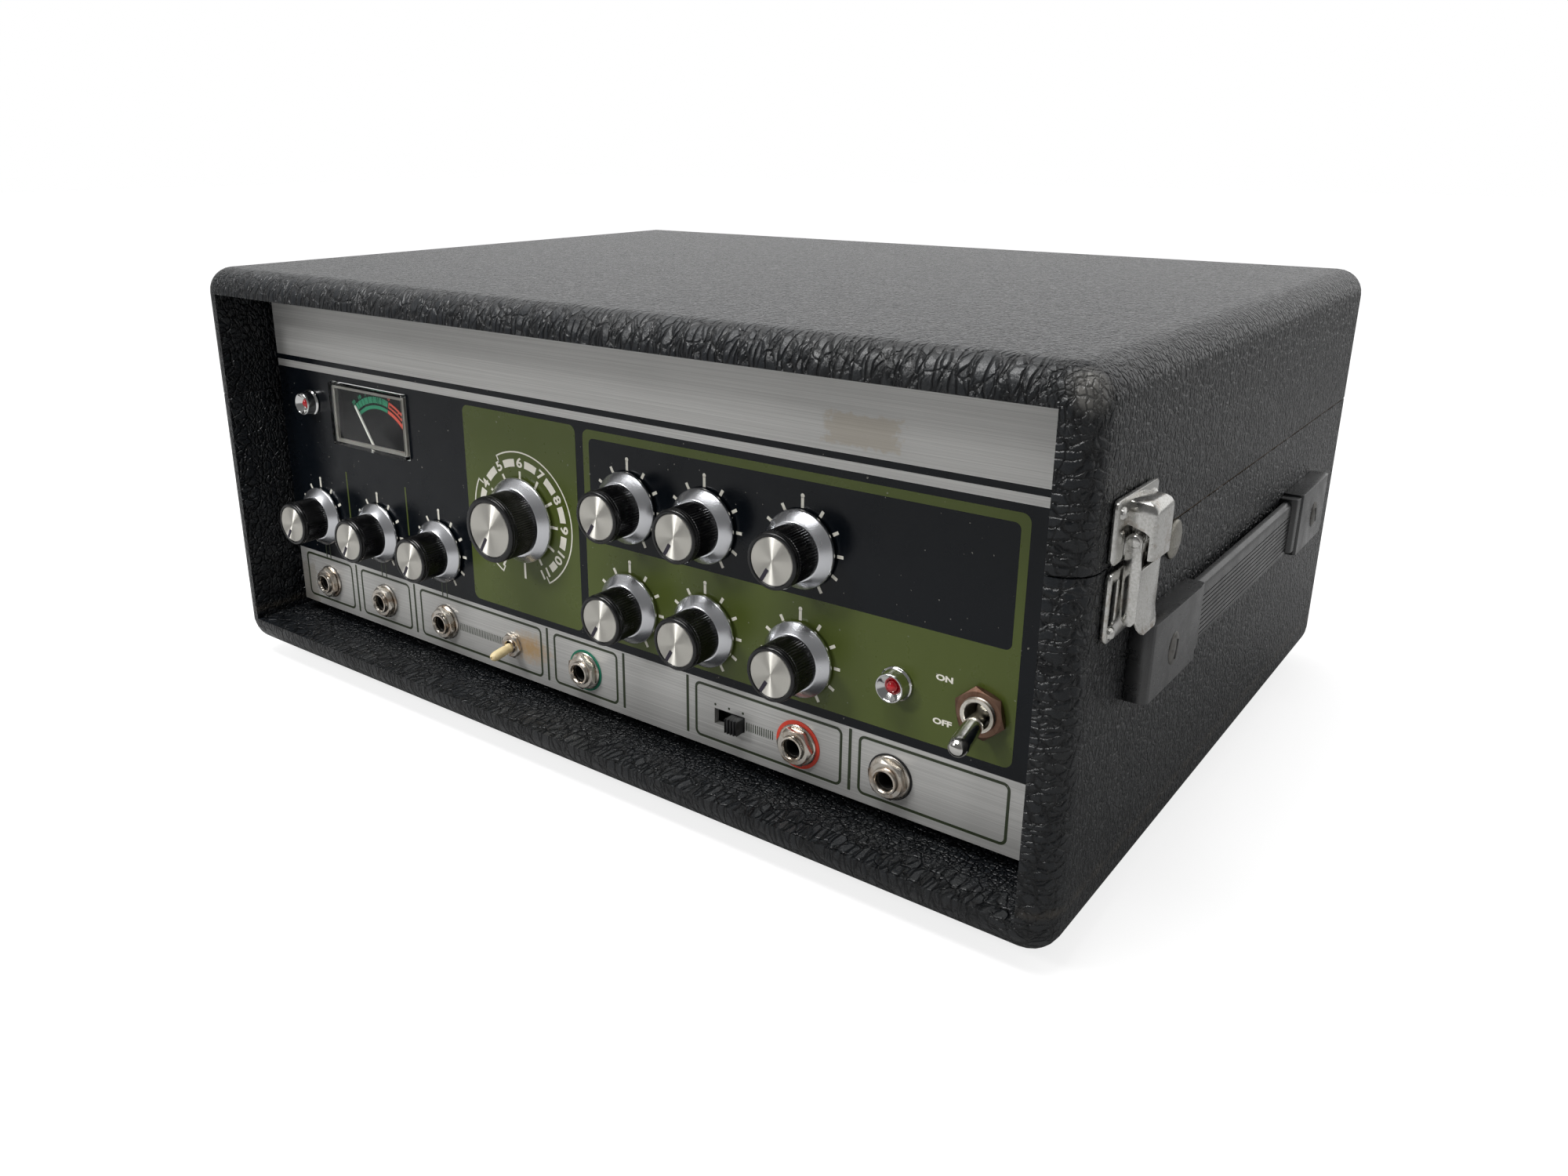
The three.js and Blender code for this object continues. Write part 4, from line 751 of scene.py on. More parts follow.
def polished_metal(name, colour, roughness, smear=0.14, stain=None, stained=0.0):
    """Polished or plated metal with finger smears and, where it is old, stains and pits."""
    finish, shader = new_finish(name, colour, roughness, 1.0)
    vector = coordinates(shader)
    cloud = noise(vector, 110, 5, 0.6)
    if stain:
        amount = times(spread(noise(vector, 170, 6, 0.65, 0.4), 0.48, 0.66), stained)
        marked = blend(amount, colour, stain)
    else:
        marked = blend(spread(cloud, 0.25, 0.75), [channel * 0.8 for channel in colour], colour)
    feed(shader, {"Base Color": marked,
                  "Roughness": spread(cloud, 0.3, 0.7, roughness - smear / 2, roughness + smear)})
    raise_surface(shader, noise(vector, 900, 3, 0.6), 0.00003, 0.3)
    return finish


def moulded_plastic(name, colour, roughness, tooth=0.00002, scale=1400):
    """Moulded plastic with a fine skin, faint dust and finger marks."""
    finish, shader = new_finish(name, colour, roughness)
    vector = coordinates(shader)
    dust = spread(noise(vector, 480, 5), 0.5, 0.8, 0, 0.3)
    pale = [min(1, channel * 1.6 + 0.012) for channel in colour]
    marks = spread(noise(vector, 130, 5), 0.3, 0.75, roughness - 0.05, roughness + 0.14)
    feed(shader, {"Base Color": blend(dust, colour, pale), "Roughness": marks})
    raise_surface(shader, noise(vector, scale, 3), tooth, 0.5)
    return finish


def ribbed_ring(radius, height, ribs):
    """One ring of the ribbed grip: four points to a rib."""
    count = ribs * 4
    return [(*spoke(0, 0, radius - rib_depth * rib_shares[i % 4], math.tau * i / count), height)
            for i in range(count)]


skirt_finish = spun_metal("polished_skirt", (0.82, 0.83, 0.86), 0.25, 0.4)
cap_finish = spun_metal("turned_cap", (0.76, 0.74, 0.68), 0.4, 1.0, grain_turn=0.25)
grip_finish = moulded_plastic("black_knob_plastic", (0.0035, 0.0035, 0.004), 0.2)
pointer_finish = moulded_plastic("pointer_fill", (0.014, 0.009, 0.022), 0.42)

knobs = {name: (place, small_size) for name, place in small_knobs.items()}
knobs["mode"] = (mode_place, mode_size)
for name, (middle, size) in knobs.items():
    body = "knob_" + name
    place = at(FRONT, *middle) @ Matrix.Rotation(math.radians(rest_turn), 4, "Z")
    skirt, step, grip, cap, top, ribs = size.values()
    bm = bmesh.new()
    turned(bm, eased([(0, 0.7), (skirt - 0.9, 0.7), (skirt, 1.0), (skirt, 2.1), (step + 0.4, 5.0),
                      (step, 5.3), (0, 5.3)], 0.5), place, 72, skirt)
    make_piece(body + "_skirt", bm, skirt_finish, body, body, 40)
    bm = bmesh.new()
    rings = ((grip - 0.3, 5.3), (grip, 5.35), (grip, 9.0), (grip, top - 2.9), (grip - 0.35, top - 2.6))
    skin(bm, [ribbed_ring(*ring, ribs) for ring in rings], place, capped=True)
    bead = [(grip - 1.4, top - 2.75), (grip - 0.15, top - 2.65), (grip + 0.12, top - 2.2),
            (grip + 0.12, top - 1.5), (grip - 0.1, top - 1.15), (grip - 0.1, top - 0.95),
            (grip + 0.02, top - 0.75), (grip - 0.15, top - 0.2), (cap + 0.75, top + 0.02),
            (cap + 0.12, top - 0.02), (cap + 0.04, top - 0.7), (grip - 1.4, top - 2.75)]
    turned(bm, eased(bead, 0.35), place, 72)
    make_piece(body + "_grip", bm, grip_finish, None, body, 35)
    bm = bmesh.new()
    turned(bm, eased([(0, top - 0.9), (cap, top - 0.9), (cap, top - 0.35), (cap - 0.3, top - 0.14),
                      (0, top - 0.3)], 0.12, 2), place, 72, cap)
    make_piece(body + "_cap", bm, cap_finish, None, body)
    bm = bmesh.new()
    sheet(bm, [round_box(-pointer_half, pointer_half, cap * 0.4, cap - 0.25, 0.15, 2)],
          top - 0.6, top - 0.1, place)
    make_piece(body + "_pointer", bm, pointer_finish, None, body)

# Level meter
# A small moving-coil meter behind the panel: black printed dial with a green and a red scale, a
# white needle on a pin, and a clear moulded cover with a thick rim that stands out of the window.
meter_place, meter_size = (-125.8, 115.5), (51.4, 28.4)
meter_foot, meter_rise, meter_wall = -2.4, 2.1, 1.3
rim_face, rim_low, rim_high = 1.5, -1.2, 0.1
dial_out = -4.5
pivot = (-125.8, 98.2)
scale_start, scale_split, scale_end = -41, 17, 47
outer_scale, inner_scale = (23.4, 26.2), (20.9, 22.4)
# Each green mark's first turn and its length in degrees
green_marks = ((-41, 3.6), (-36.6, 3.6), (-32.2, 5), (-26.5, 4.6), (-21.2, 5.8), (-14.6, 6.4),
               (-7.4, 6.6), (0, 1.6), (2.4, 4.4), (7.6, 8.6))
red_lines, red_ticks = ((23.4, 24.2), (25.2, 26.2), inner_scale), (scale_split + 1.0, 33, scale_end)
green_numbers, red_numbers = {"20": -38, "10": -27, "7": -17, "5": -7, "3": 3}, {"0": 17, "3": 45}
# The size of each scale's numbers and their distance from the pivot
green_number_size, green_number_ring = 2.1, 27.4
red_number_size, red_number_ring = 2.2, 27.6
needle_reach, needle_rest, needle_tail, needle_point, needle_half = 25.6, -35, -3.5, 0.8, 0.42
needle_low, needle_high = dial_out + 0.95, dial_out + 1.4


def clear_plastic(name, tint, roughness=0.04):
    """Clear acrylic, aged a little: faint haze, and it lets the lamps through to what is behind it."""
    finish, shader = new_finish(name, tint, roughness)
    tree = shader.id_data
    passing = new_node(tree, "BsdfTransparent", {"Color": tint}).outputs[0]
    shadow = new_node(tree, "LightPath", {}).outputs["Is Shadow Ray"]
    choose = new_node(tree, "MixShader", {"Fac": shadow, 1: shader.outputs[0], 2: passing})
    feed(tree.nodes["Material Output"], {"Surface": choose.outputs[0]})
    haze = noise(coordinates(shader), 300, 5, 0.6)
    feed(shader, {"Transmission Weight": 1.0, "IOR": 1.24,
                  "Roughness": spread(haze, 0.45, 0.8, roughness, roughness + 0.06)})
    return finish


meter_black = ink("dial_black", (0.003, 0.003, 0.004), 0.6, 0.1)
rim_finish = moulded_plastic("cover_rim_grey", (0.17, 0.16, 0.145), 0.45)
scale_green = ink("scale_green", (0.0, 0.21, 0.10), 0.5)
scale_red = ink("scale_red", (0.56, 0.06, 0.03), 0.5)
needle_finish = ink("needle_white", (0.78, 0.77, 0.72), 0.35)
cover_finish = clear_plastic("clear_cover", (0.93, 0.94, 0.93))


def meter_outline(inset, corner):
    """The meter's outline, set in by some of its wall."""
    x, z = meter_place
    half_x, half_z = meter_size[0] / 2, meter_size[1] / 2
    return round_box(x - half_x + inset, x + half_x - inset, z - half_z + inset, z + half_z - inset, corner)


def cover_rings(steps, corner):
    """Rings of the cover, each with its own inset and height."""
    return [[(x, z, out) for x, z in meter_outline(inset, corner)] for inset, out in steps]


def dial_film(bm, *outlines):
    """A film of ink on the dial."""
    sheet(bm, outlines, dial_out + 0.02, dial_out + 0.05, FRONT)


# From the outside's flat face back round the rim to the flat face inside
bm = bmesh.new()
outside = cover_rings(((0, meter_foot), (0, meter_rise - 0.5), (0.15, meter_rise - 0.15),
                       (0.5, meter_rise)), 1.2)
inside = cover_rings(((meter_wall, meter_foot), (meter_wall, meter_rise - meter_wall - 0.3),
                      (meter_wall + 0.3, meter_rise - meter_wall)), 0.8)
skin(bm, outside[::-1] + inside, FRONT, capped=True)
make_piece("meter_clear_cover", bm, cover_finish, "meter_cover", smooth=25)
bm = bmesh.new()
sheet(bm, [meter_outline(meter_wall + 0.05, 0.8), meter_outline(meter_wall + rim_face, 0.5)],
      rim_low, rim_high, FRONT)
make_piece("meter_cover_rim", bm, rim_finish, smooth=25)

bm = bmesh.new()
for turn, length in green_marks:
    dial_film(bm, arc_band(*pivot, *outer_scale, turn, turn + length, 5))
dial_film(bm, arc_band(*pivot, *inner_scale, scale_start, scale_split, 24))
for words, turn in green_numbers.items():
    figures(bm, words, green_number_size, around(*pivot, green_number_ring, turn), dial_out + 0.05, turn)
make_piece("dial_green_scale", bm, scale_green)
bm = bmesh.new()
for reach in red_lines:
    dial_film(bm, arc_band(*pivot, *reach, scale_split + 0.8, scale_end, 14))
for turn in red_ticks:
    dial_film(bm, ray_bar(*pivot, *outer_scale, turn, 0.5))
for words, turn in red_numbers.items():
    figures(bm, words, red_number_size, around(*pivot, red_number_ring, turn), dial_out + 0.05, turn)
make_piece("dial_red_scale", bm, scale_red)

place = at(FRONT, *pivot) @ Matrix.Rotation(math.radians(-needle_rest), 4, "Z")
shoulder = needle_reach - needle_point
bm = bmesh.new()
sheet(bm, [[(-0.5, needle_tail), (0.5, needle_tail), (needle_half, shoulder), (0, needle_reach),
            (-needle_half, shoulder)]], needle_low, needle_high, place)
turned(bm, [(1.2, dial_out + 0.6), (1.7, dial_out + 0.6), (1.7, dial_out + 1.7), (1.2, dial_out + 1.7),
            (1.2, dial_out + 0.6)], place, 24)
make_piece("meter_pointer", bm, needle_finish, "meter_needle", "meter_needle")
refinish("meter_body", meter_black)

# Lamps
# A chromed bezel with a bright cone inside it and a small red dome at the bottom of the cone.
bezel_profile = [(4.9, -2), (4.9, 0.25), (6.0, 0.25), (6.0, 0.8), (5.25, 1.2), (5.1, 4.9), (4.9, 5.35),
                 (4.55, 5.4), (4.3, 5.1), (3.9, 4.7), (2.1, 2.9), (2.0, 2.2), (0, 2.2)]
lens_profile = [(0, 2.1), (1.95, 2.1), (1.95, 2.25), (1.95, 2.9), (1.8, 3.5), (1.35, 4.0), (0.7, 4.3),
                (0, 4.38)]
bezel_finish = polished_metal("lamp_chrome", (0.86, 0.86, 0.85), 0.1, 0.1)
lens_finish, shader = new_finish("red_lens", (0.5, 0.008, 0.014), 0.06)
facet = noise(coordinates(shader), 700, 2)
feed(shader, {"Coat Weight": 0.6, "Emission Color": (0.5, 0.0, 0.01), "Emission Strength": 0.05,
              "Base Color": blend(facet, (0.30, 0.002, 0.008), (0.62, 0.014, 0.02))})
raise_surface(shader, facet, 0.00004, 0.5)
for name, middle in lamp_places.items():
    place = at(FRONT, *middle)
    bm = bmesh.new()
    turned(bm, eased(bezel_profile, 0.25, 2), place, 48)
    make_piece(name + "_lamp_bezel", bm, bezel_finish, name + "_lamp", smooth=35)
    bm = bmesh.new()
    turned(bm, lens_profile, place, 32)
    make_piece(name + "_lamp_lens", bm, lens_finish, smooth=60)

# Toggle switches
# The mains switch has a plated bushing in a rusted hexagon nut and a heavy chromed bat lever. The
# small switch beside the instrument jack has a thin lever in a cream plastic sleeve.
power_radius, pad_radius, socket_low = 5.9, 3.1, -2.3
power_lean, pad_lean, ball_depth = 18, 8, -2.5
# Each nut's width across its flats, its foot and its top
power_nut, pad_nut = (15.5, 0.35, 2.7), (9.5, 0.35, 1.9)
pit_radius, pit_low, pit_high = 3.4, -5.6, -5.2
bat = [(0, -2.9), (1.6, -2.5), (2.7, -1.2), (3.0, 0), (2.75, 1.2), (2.2, 2.2), (2.1, 3.6), (2.5, 5.2),
       (3.0, 7.0), (3.1, 9), (3.15, 13.5), (3.2, 16.0), (3.35, 17.8), (3.1, 19.5), (2.4, 20.8), (1.2, 21.4),
       (0, 21.55)]
sleeve = [(0, 3.9), (1.75, 3.9), (2.0, 4.4), (2.0, 5.6), (1.75, 5.9), (1.7, 6.3), (1.9, 6.8), (2.05, 9.0),
          (2.05, 12.2), (1.85, 13.6), (1.3, 14.5), (0.6, 14.75), (0.35, 14.3), (0, 14.3)]
stem = [(0, -1.65), (1.2, -1.2), (1.68, 0), (1.2, 1.2), (0.95, 2.0), (0.95, 4.1), (0, 4.1)]
rusty_nut = polished_metal("rusted_nut", (0.23, 0.14, 0.10), 0.44, 0.16, (0.12, 0.05, 0.032), 0.7)
nickel_finish = polished_metal("aged_nickel", (0.66, 0.62, 0.56), 0.24, 0.14, (0.34, 0.22, 0.13), 0.75)
lever_finish = polished_metal("lever_chrome", (0.70, 0.69, 0.66), 0.1, 0.1, (0.10, 0.09, 0.07), 0.6)
bushing_finish = polished_metal("bushing_plate", (0.80, 0.77, 0.70), 0.26, 0.16, (0.34, 0.28, 0.2), 0.5)
# Painted shade: near black, for thin sheets laid where a hollow, slot or recess goes dark
hollow_painted_shade = moulded_plastic("hollow_painted_shade", (0.006, 0.006, 0.006), 0.6)
sleeve_finish = moulded_plastic("cream_sleeve", (0.86, 0.70, 0.40), 0.36)


def nut(bm, bore, across, low, high, place, turn):
    """A hexagon nut with its corners turned down to a chamfer on both faces."""
    half = across / 2
    flat = half * 0.97
    rings = [[] for level in range(6)]
    for i in range(48):
        angle = math.tau * i / 48
        reach = half / math.cos((angle + math.pi / 6) % (math.pi / 3) - math.pi / 6)
        drop = (reach - flat) * 0.6
        levels = ((bore, low), (flat, low), (reach, low + drop), (reach, high - drop), (flat, high),
                  (bore, high))
        for ring, (radius, height) in zip(rings, levels):
            ring.append((*spoke(0, 0, radius, angle), height))
    skin(bm, rings, place @ Matrix.Rotation(math.radians(turn), 4, "Z"), closed=True)


def threaded(radius, low, high, pitch=0.7, depth=0.28):
    """The profile of a fine thread, from its foot to its top."""
    points = []
    count = int((high - low) / pitch)
    for step in range(count):
        start = low + (high - low) * step / count
        points += [(radius - depth, start), (radius, start + (high - low) / count * 0.5)]
    return points + [(radius - depth, high)]


def lever_shape(points, place, lean):
    """A turned lever that leans down from its ball behind the panel."""
    bm = bmesh.new()
    ball = Matrix.Translation((0, 0, ball_depth)) @ Matrix.Rotation(math.radians(lean), 4, "X")
    turned(bm, points, place @ ball, 36)
    return bm


place = at(FRONT, *power_switch_place)
bm = bmesh.new()
nut(bm, power_radius, *power_nut, place, 12)
make_piece("power_switch_nut", bm, rusty_nut, smooth=25)
bm = bmesh.new()
turned(bm, [(power_radius, socket_low), *threaded(power_radius, 0.2, 3.6), (5.6, 4.0), (4.6, 4.05),
            (4.3, 3.8), (3.5, -1.0), (3.35, socket_low)], place)
make_piece("power_switch_bushing", bm, bushing_finish, "power_switch_body", smooth=35)
# Painted shade: a near-black disc behind the bushing, where its hole goes dark
bm = bmesh.new()
sheet(bm, [round_line(0, 0, pit_radius, 24)], pit_low, pit_high, place)
make_piece("power_switch_pit_shade", bm, hollow_painted_shade)
make_piece("power_switch_bat", lever_shape(eased(bat, 0.8, 2), place, power_lean), lever_finish,
           "power_switch_lever", "power_switch_lever", 60)

place = at(FRONT, *pad_switch_place)
bm = bmesh.new()
nut(bm, pad_radius, *pad_nut, place, 20)
turned(bm, eased([(pad_radius, 0.05), (5.0, 0.05), (5.0, 0.33), (pad_radius, 0.33)], 0.1, 1), place, 40)
make_piece("pad_switch_nut", bm, nickel_finish, smooth=25)
bm = bmesh.new()
turned(bm, [(pad_radius, socket_low), *threaded(pad_radius, 0.2, 2.4, 0.5, 0.2), (2.9, 2.6), (2.5, 2.6),
            (2.2, 2.2), (2.1, socket_low)], place, 40)
make_piece("pad_switch_bushing", bm, nickel_finish, "pad_switch_body", smooth=35)
make_piece("pad_switch_sleeve", lever_shape(sleeve, place, pad_lean), sleeve_finish, None,
           "pad_switch_lever", 50)
make_piece("pad_switch_stem", lever_shape(stem, place, pad_lean), bezel_finish, "pad_switch_lever",
           "pad_switch_lever", 60)

# Slide switch
# A black moulded button with cross ribs in a slot through the panel, over a black switch body.
slot_place, track_half, track_low, track_high = (72.2, 31), (6.85, 3.05), -6.4, -6.2
button_x, button_half, button_foot, button_top = 76.1, (2.7, 2.8), -5.9, 5.0
rib_count, rib_half, rib_groove = 8, 0.28, 0.75
switch_black = moulded_plastic("switch_black", (0.008, 0.008, 0.009), 0.36)
bm = bmesh.new()
x, z = slot_place
sheet(bm, [round_box(x - track_half[0], x + track_half[0], z - track_half[1], z + track_half[1], 0.4, 2)],
      track_low, track_high, FRONT)
make_piece("slide_switch_track", bm, switch_black)
half_x, half_z = button_half
profile = [(-half_x, button_foot), (half_x, button_foot)]
for step in range(rib_count + 1):
    out = button_top - 0.15 - (rib_groove if step % 2 else 0)
    for shift in (rib_half, -rib_half) if 0 < step < rib_count else (0,):
        profile.append((half_x - 2 * half_x * step / rib_count + shift, out))
bm = bmesh.new()
lying = Matrix.Rotation(math.radians(90), 4, "X")
sheet(bm, [profile], 0, half_z * 2, at(FRONT, button_x, z + half_z) @ lying)
ease(bm, bm.edges[:], 0.12, 2)
make_piece("slide_switch_knob", bm, switch_black, "slide_switch_button",
           "slide_switch_button", 40)

# Jacks
# Nickelled quarter-inch sockets: a flat washer, a chamfered hexagon nut and the threaded tube. Three
# of them sit on a coloured fibre washer.
jack_row, jack_nut = 31, (12.7, 1.1, 3.5)
# Each jack's place along the strip and how far its nut was turned
jacks = {"mic_1": (-168, 8), "mic_2": (-126, 22), "instrument": (-84, 14), "output": (0, 3),
         "footswitch_1": (102.4, 27), "footswitch_2": (139.5, 16)}
# Each fibre washer's radius, colour and a finish label
fibre_washers = {"output": (8.6, (0.0, 0.16, 0.09), "circuit"),
                 "footswitch_1": (9.1, (0.72, 0.06, 0.03), "red"),
                 "footswitch_2": (8.3, (0.008, 0.008, 0.009), "black_plastic")}
tube_profile = [(3.3, -25), (8.3, -25), (8.3, -2.9), (4.7, -2.9), (4.7, 1.0),
                *threaded(4.75, 1.0, 4.3, 0.6, 0.22), (4.5, 4.75), (3.9, 4.8), (3.45, 4.35), (3.3, 3.6),
                (3.3, -25)]
washer_profile = eased([(4.8, 0.3), (7.7, 0.3), (7.8, 0.65), (7.3, 1.0), (4.8, 1.05)], 0.15, 2)
# The near-black sleeve's profile and finish: painted shade inside the jacks' bores
shade_sleeve_profile = [(3.05, -22), (3.28, -22), (3.28, 2.6), (3.05, 2.6), (3.05, -22)]
bore_painted_shade = moulded_plastic("socket_painted_shade", (0.01, 0.0095, 0.009), 0.5)
for name, (x, nut_turn) in jacks.items():
    place = at(FRONT, x, jack_row)
    bm = bmesh.new()
    turned(bm, washer_profile, place)
    nut(bm, 4.75, *jack_nut, place, nut_turn)
    make_piece(f"jack_{name}_nut", bm, nickel_finish, smooth=25)
    bm = bmesh.new()
    turned(bm, tube_profile, place)
    make_piece(f"jack_{name}_tube", bm, nickel_finish, "jack_" + name, smooth=35)
    # Painted shade: a near-black sleeve and floor line the tube's bore where it goes dark
    bm = bmesh.new()
    turned(bm, shade_sleeve_profile, place, 40)
    sheet(bm, [round_line(0, 0, 3.2, 24)], -22.6, -22.2, place)
    make_piece(f"jack_{name}_shade_sleeve", bm, bore_painted_shade, smooth=35)
    if name in fibre_washers:
        radius, colour, slot = fibre_washers[name]
        bm = bmesh.new()
        turned(bm, eased([(4.9, 0.02), (radius, 0.02), (radius, 0.28), (4.9, 0.28), (4.9, 0.02)], 0.05, 1),
               place, 64)
        make_piece(f"jack_{name}_fibre_ring", bm, ink(f"fibre_ring_{name}", colour, 0.5))

# Handle
# A black moulded strap, ribbed along its lower part, its ends held under two moulded caps on the right
# side, each cap fixed by one slotted screw and ending in a thick rounded lip over the strap.
side_out = case_width / 2
RIGHT = Matrix(((0, 0, 1, side_out), (1, 0, 0, 0), (0, 1, 0, foot_height), (0, 0, 0, 1)))
LEFT = Matrix(((0, 0, -1, -side_out), (-1, 0, 0, 0), (0, 1, 0, foot_height), (0, 0, 0, 1)))
REAR = Matrix(((-1, 0, 0, 0), (0, 0, 1, back_y), (0, 1, 0, foot_height), (0, 0, 0, 1)))
handle_row = 85.5
# Each end's place along the side, the way its strap leaves, and how far its screw's slot was turned
handle_ends = {"front": (-115, 1, 15), "rear": (100, -1, -30)}
cap_length, cap_half, cap_rise = 50, 12.5, 7.4
lip_length, lip_drop, lip_low, lip_high = 6.0, 0.9, -10.3, 11.8
screw_along, screw_drop, screw_radius = 20.5, 0.8, 5.4
strap_half, strap_rise, strap_thickness, strap_tuck, strap_steps = 10.75, 4.9, 3.0, 20, 40
smooth_part, strap_ribs, groove_width, groove_depth = 5.6, 9, 0.42, 0.55
handle_finish = moulded_plastic("handle_vinyl", (0.004, 0.0045, 0.0052), 0.24, 0.000004, 900)
feed(handle_finish.node_tree.nodes["Principled BSDF"], {"Specular IOR Level": 1.0})
screw_steel = polished_metal("dull_screw", (0.17, 0.165, 0.155), 0.38, 0.16, (0.04, 0.036, 0.03), 0.8)


def slope_block(bm, outlines, low, high, place, bevel, segments=3):
    """A plate with rounded edges: its outlines in two axes, its thickness in the third."""
    old = set(bm.verts)
    sheet(bm, outlines, low, high, place)
    fresh = {vertex for vertex in bm.verts if vertex not in old}
    ease(bm, [edge for edge in bm.edges if edge.verts[0] in fresh and len(edge.link_faces) == 2
              and edge.calc_face_angle(0) > 0.2], bevel, segments, True)


body_end = cap_length - lip_length
crown = eased([(0, 0.05), (0, cap_rise - 0.2), (body_end - 0.6, cap_rise), (body_end, cap_rise - lip_drop),
               (body_end, 0.05)], 3.6, 5)
lip = eased([(body_end - 1, 0.05), (body_end - 1, cap_rise - 0.5), (cap_length - 0.8, cap_rise - 0.9),
             (cap_length, cap_rise - 2.6), (cap_length, 0.05)], 1.6, 4)
screw_head = eased([(0, 7.0), (screw_radius, 7.0), (screw_radius, 7.45), (4.6, 7.75), (3.0, 8.1),
                    (0, 8.2)], 0.3, 2)
for name, (y, way, slot_turn) in handle_ends.items():
    # Across the case's side, then up, then out of it; the first axis points along the strap
    place = RIGHT @ Matrix(((way, 0, 0, y), (0, 0, way, handle_row), (0, 1, 0, 0), (0, 0, 0, 1)))
    bm = bmesh.new()
    slope_block(bm, [crown], -cap_half, cap_half, place, 0.8)
    slope_block(bm, [lip], *sorted((way * lip_low, way * lip_high)), place, 1.1, 4)
    make_piece("handle_end_cap_" + name, bm, handle_finish, "handle_cap_" + name, smooth=40)
    seat = at(RIGHT, y + way * screw_along, handle_row - screw_drop) @ Matrix.Diagonal((0.8, 1, 1, 1))
    bm = bmesh.new()
    turned(bm, screw_head, seat, 40)
    make_piece(f"handle_screw_{name}", bm, screw_steel, smooth=40)
    # The slot is a near-black bar laid on the head: painted shade, not a cut
    bm = bmesh.new()
    sheet(bm, [bar(0, 0, 6.4, 1.3, slot_turn)], 7.7, 8.24, seat)
    make_piece(f"handle_screw_slot_shade_{name}", bm, hollow_painted_shade)

strap_start, strap_end = handle_ends["front"][0] + strap_tuck, handle_ends["rear"][0] - strap_tuck
profile = [(-strap_half, strap_rise - strap_thickness), (strap_half, strap_rise - strap_thickness),
           (strap_half, strap_rise - 1.6), (strap_half - 0.5, strap_rise - 0.7),
           (strap_half - 1.6, strap_rise - 0.1), (strap_half - 3.0, strap_rise)]
pitch = (strap_half * 2 - smooth_part - 0.8) / strap_ribs
for rib in range(strap_ribs):
    edge = strap_half - smooth_part - pitch * rib
    profile += [(edge + share * groove_width, strap_rise - drop) for share, drop in (
        (0.5, 0.03), (0.25, groove_depth), (-0.25, groove_depth), (-0.5, 0.03))]
profile += [(-strap_half + 0.7, strap_rise - 0.1), (-strap_half, strap_rise - 1.0)]
bm = bmesh.new()
skin(bm, [[(strap_start + (strap_end - strap_start) * step / strap_steps, handle_row + across, out)
           for across, out in profile] for step in range(strap_steps + 1)], RIGHT, capped=True)
make_piece("handle_ribbed_strap", bm, handle_finish, "handle_strap", smooth=50)

# Latches
# Chromed draw latches, one on each side: a base plate and a channel-shaped lever below the seam, its
# side walls running up beside the lid's hooded keeper to the pin. Riveted on, pitted and stained.
latch_y = -125
hinge_out, hinge_row, pin_radius, barrel_radius = 4.4, 128.6, 1.1, 2.3
plate_half, plate_low, plate_high, plate_round = 16, 0.3, 1.8, 2.2
base_rows, base_slot, keeper_rows = (99.7, 120.7), (-14.0, -9.6, 104.5, 117.5), (122.5, 141)
base_rivets, keeper_rivets = ((-12, 102.3), (12, 104.5)), ((-11.8, 136.8), (11.8, 136.8))
rivet = [(0, 1.7), (2.0, 1.7), (1.85, 2.3), (1.2, 2.85), (0, 3.0)]
lever_half, lever_sheet, lever_out, tab_row = 8.2, 0.9, 7.1, 104.8
hood_half, hood_out, hood_sheet, hood_bend = 7.0, 9.7, 0.9, 1.3
cheek = ((123.4, 8.0), (130.2, 8.0), (131.2, 6.6), (132.2, 3.4), (133.0, 0.6), (136.4, 0.6))
hood_crown = ((136.3, 0, 0), (137.6, 0.05, 0.15), (138.8, 0.5, 0.9), (139.5, 1.1, 2.0), (139.8, 2.0, 3.2))
inner_out = lever_out - lever_sheet
lever_line = [(lever_out, 120.5), (lever_out, 107), (lever_out + 0.25, 105), (7.8, 103.4), (8.3, 102),
              (8.6, 100.9), (7.7, 100.6), (7.3, 101.7), (6.8, 103.2), (6.4, tab_row), (inner_out, 107),
              (inner_out, 120.5)]
barrel = [spoke(hinge_out, hinge_row, barrel_radius, math.radians(22.5 * step)) for step in range(9)]
wall_line = [(5.9, 103.9), (lever_out - 0.1, 105.4), (lever_out - 0.1, 120.5), (6.7, 124), *barrel,
             (2.3, 110), (2.6, 106), (4.0, 103.6)]


def pitted_metal(name, light, dark, rust, roughness):
    """Old bright plating: mottled with fine pits, and brown where dirt has lain."""
    finish, shader = new_finish(name, light, roughness, 1.0)
    vector = coordinates(shader)
    speck = spread(noise(vector, 1500, 5, 0.7), 0.38, 0.62)
    cloud = spread(noise(vector, 260, 4), 0.35, 0.65)
    stain = times(spread(noise(vector, 190, 6, 0.7), 0.54, 0.7), 0.7)
    uneven = calculate("ADD", times(speck, 0.5), times(cloud, 0.5))
    feed(shader, {"Base Color": blend(stain, blend(times(speck, 0.5), light, dark), rust),
                  "Roughness": spread(uneven, 0, 1, roughness - 0.06, roughness + 0.12)})
    raise_surface(shader, speck, 0.000008, 0.5)
    return finish


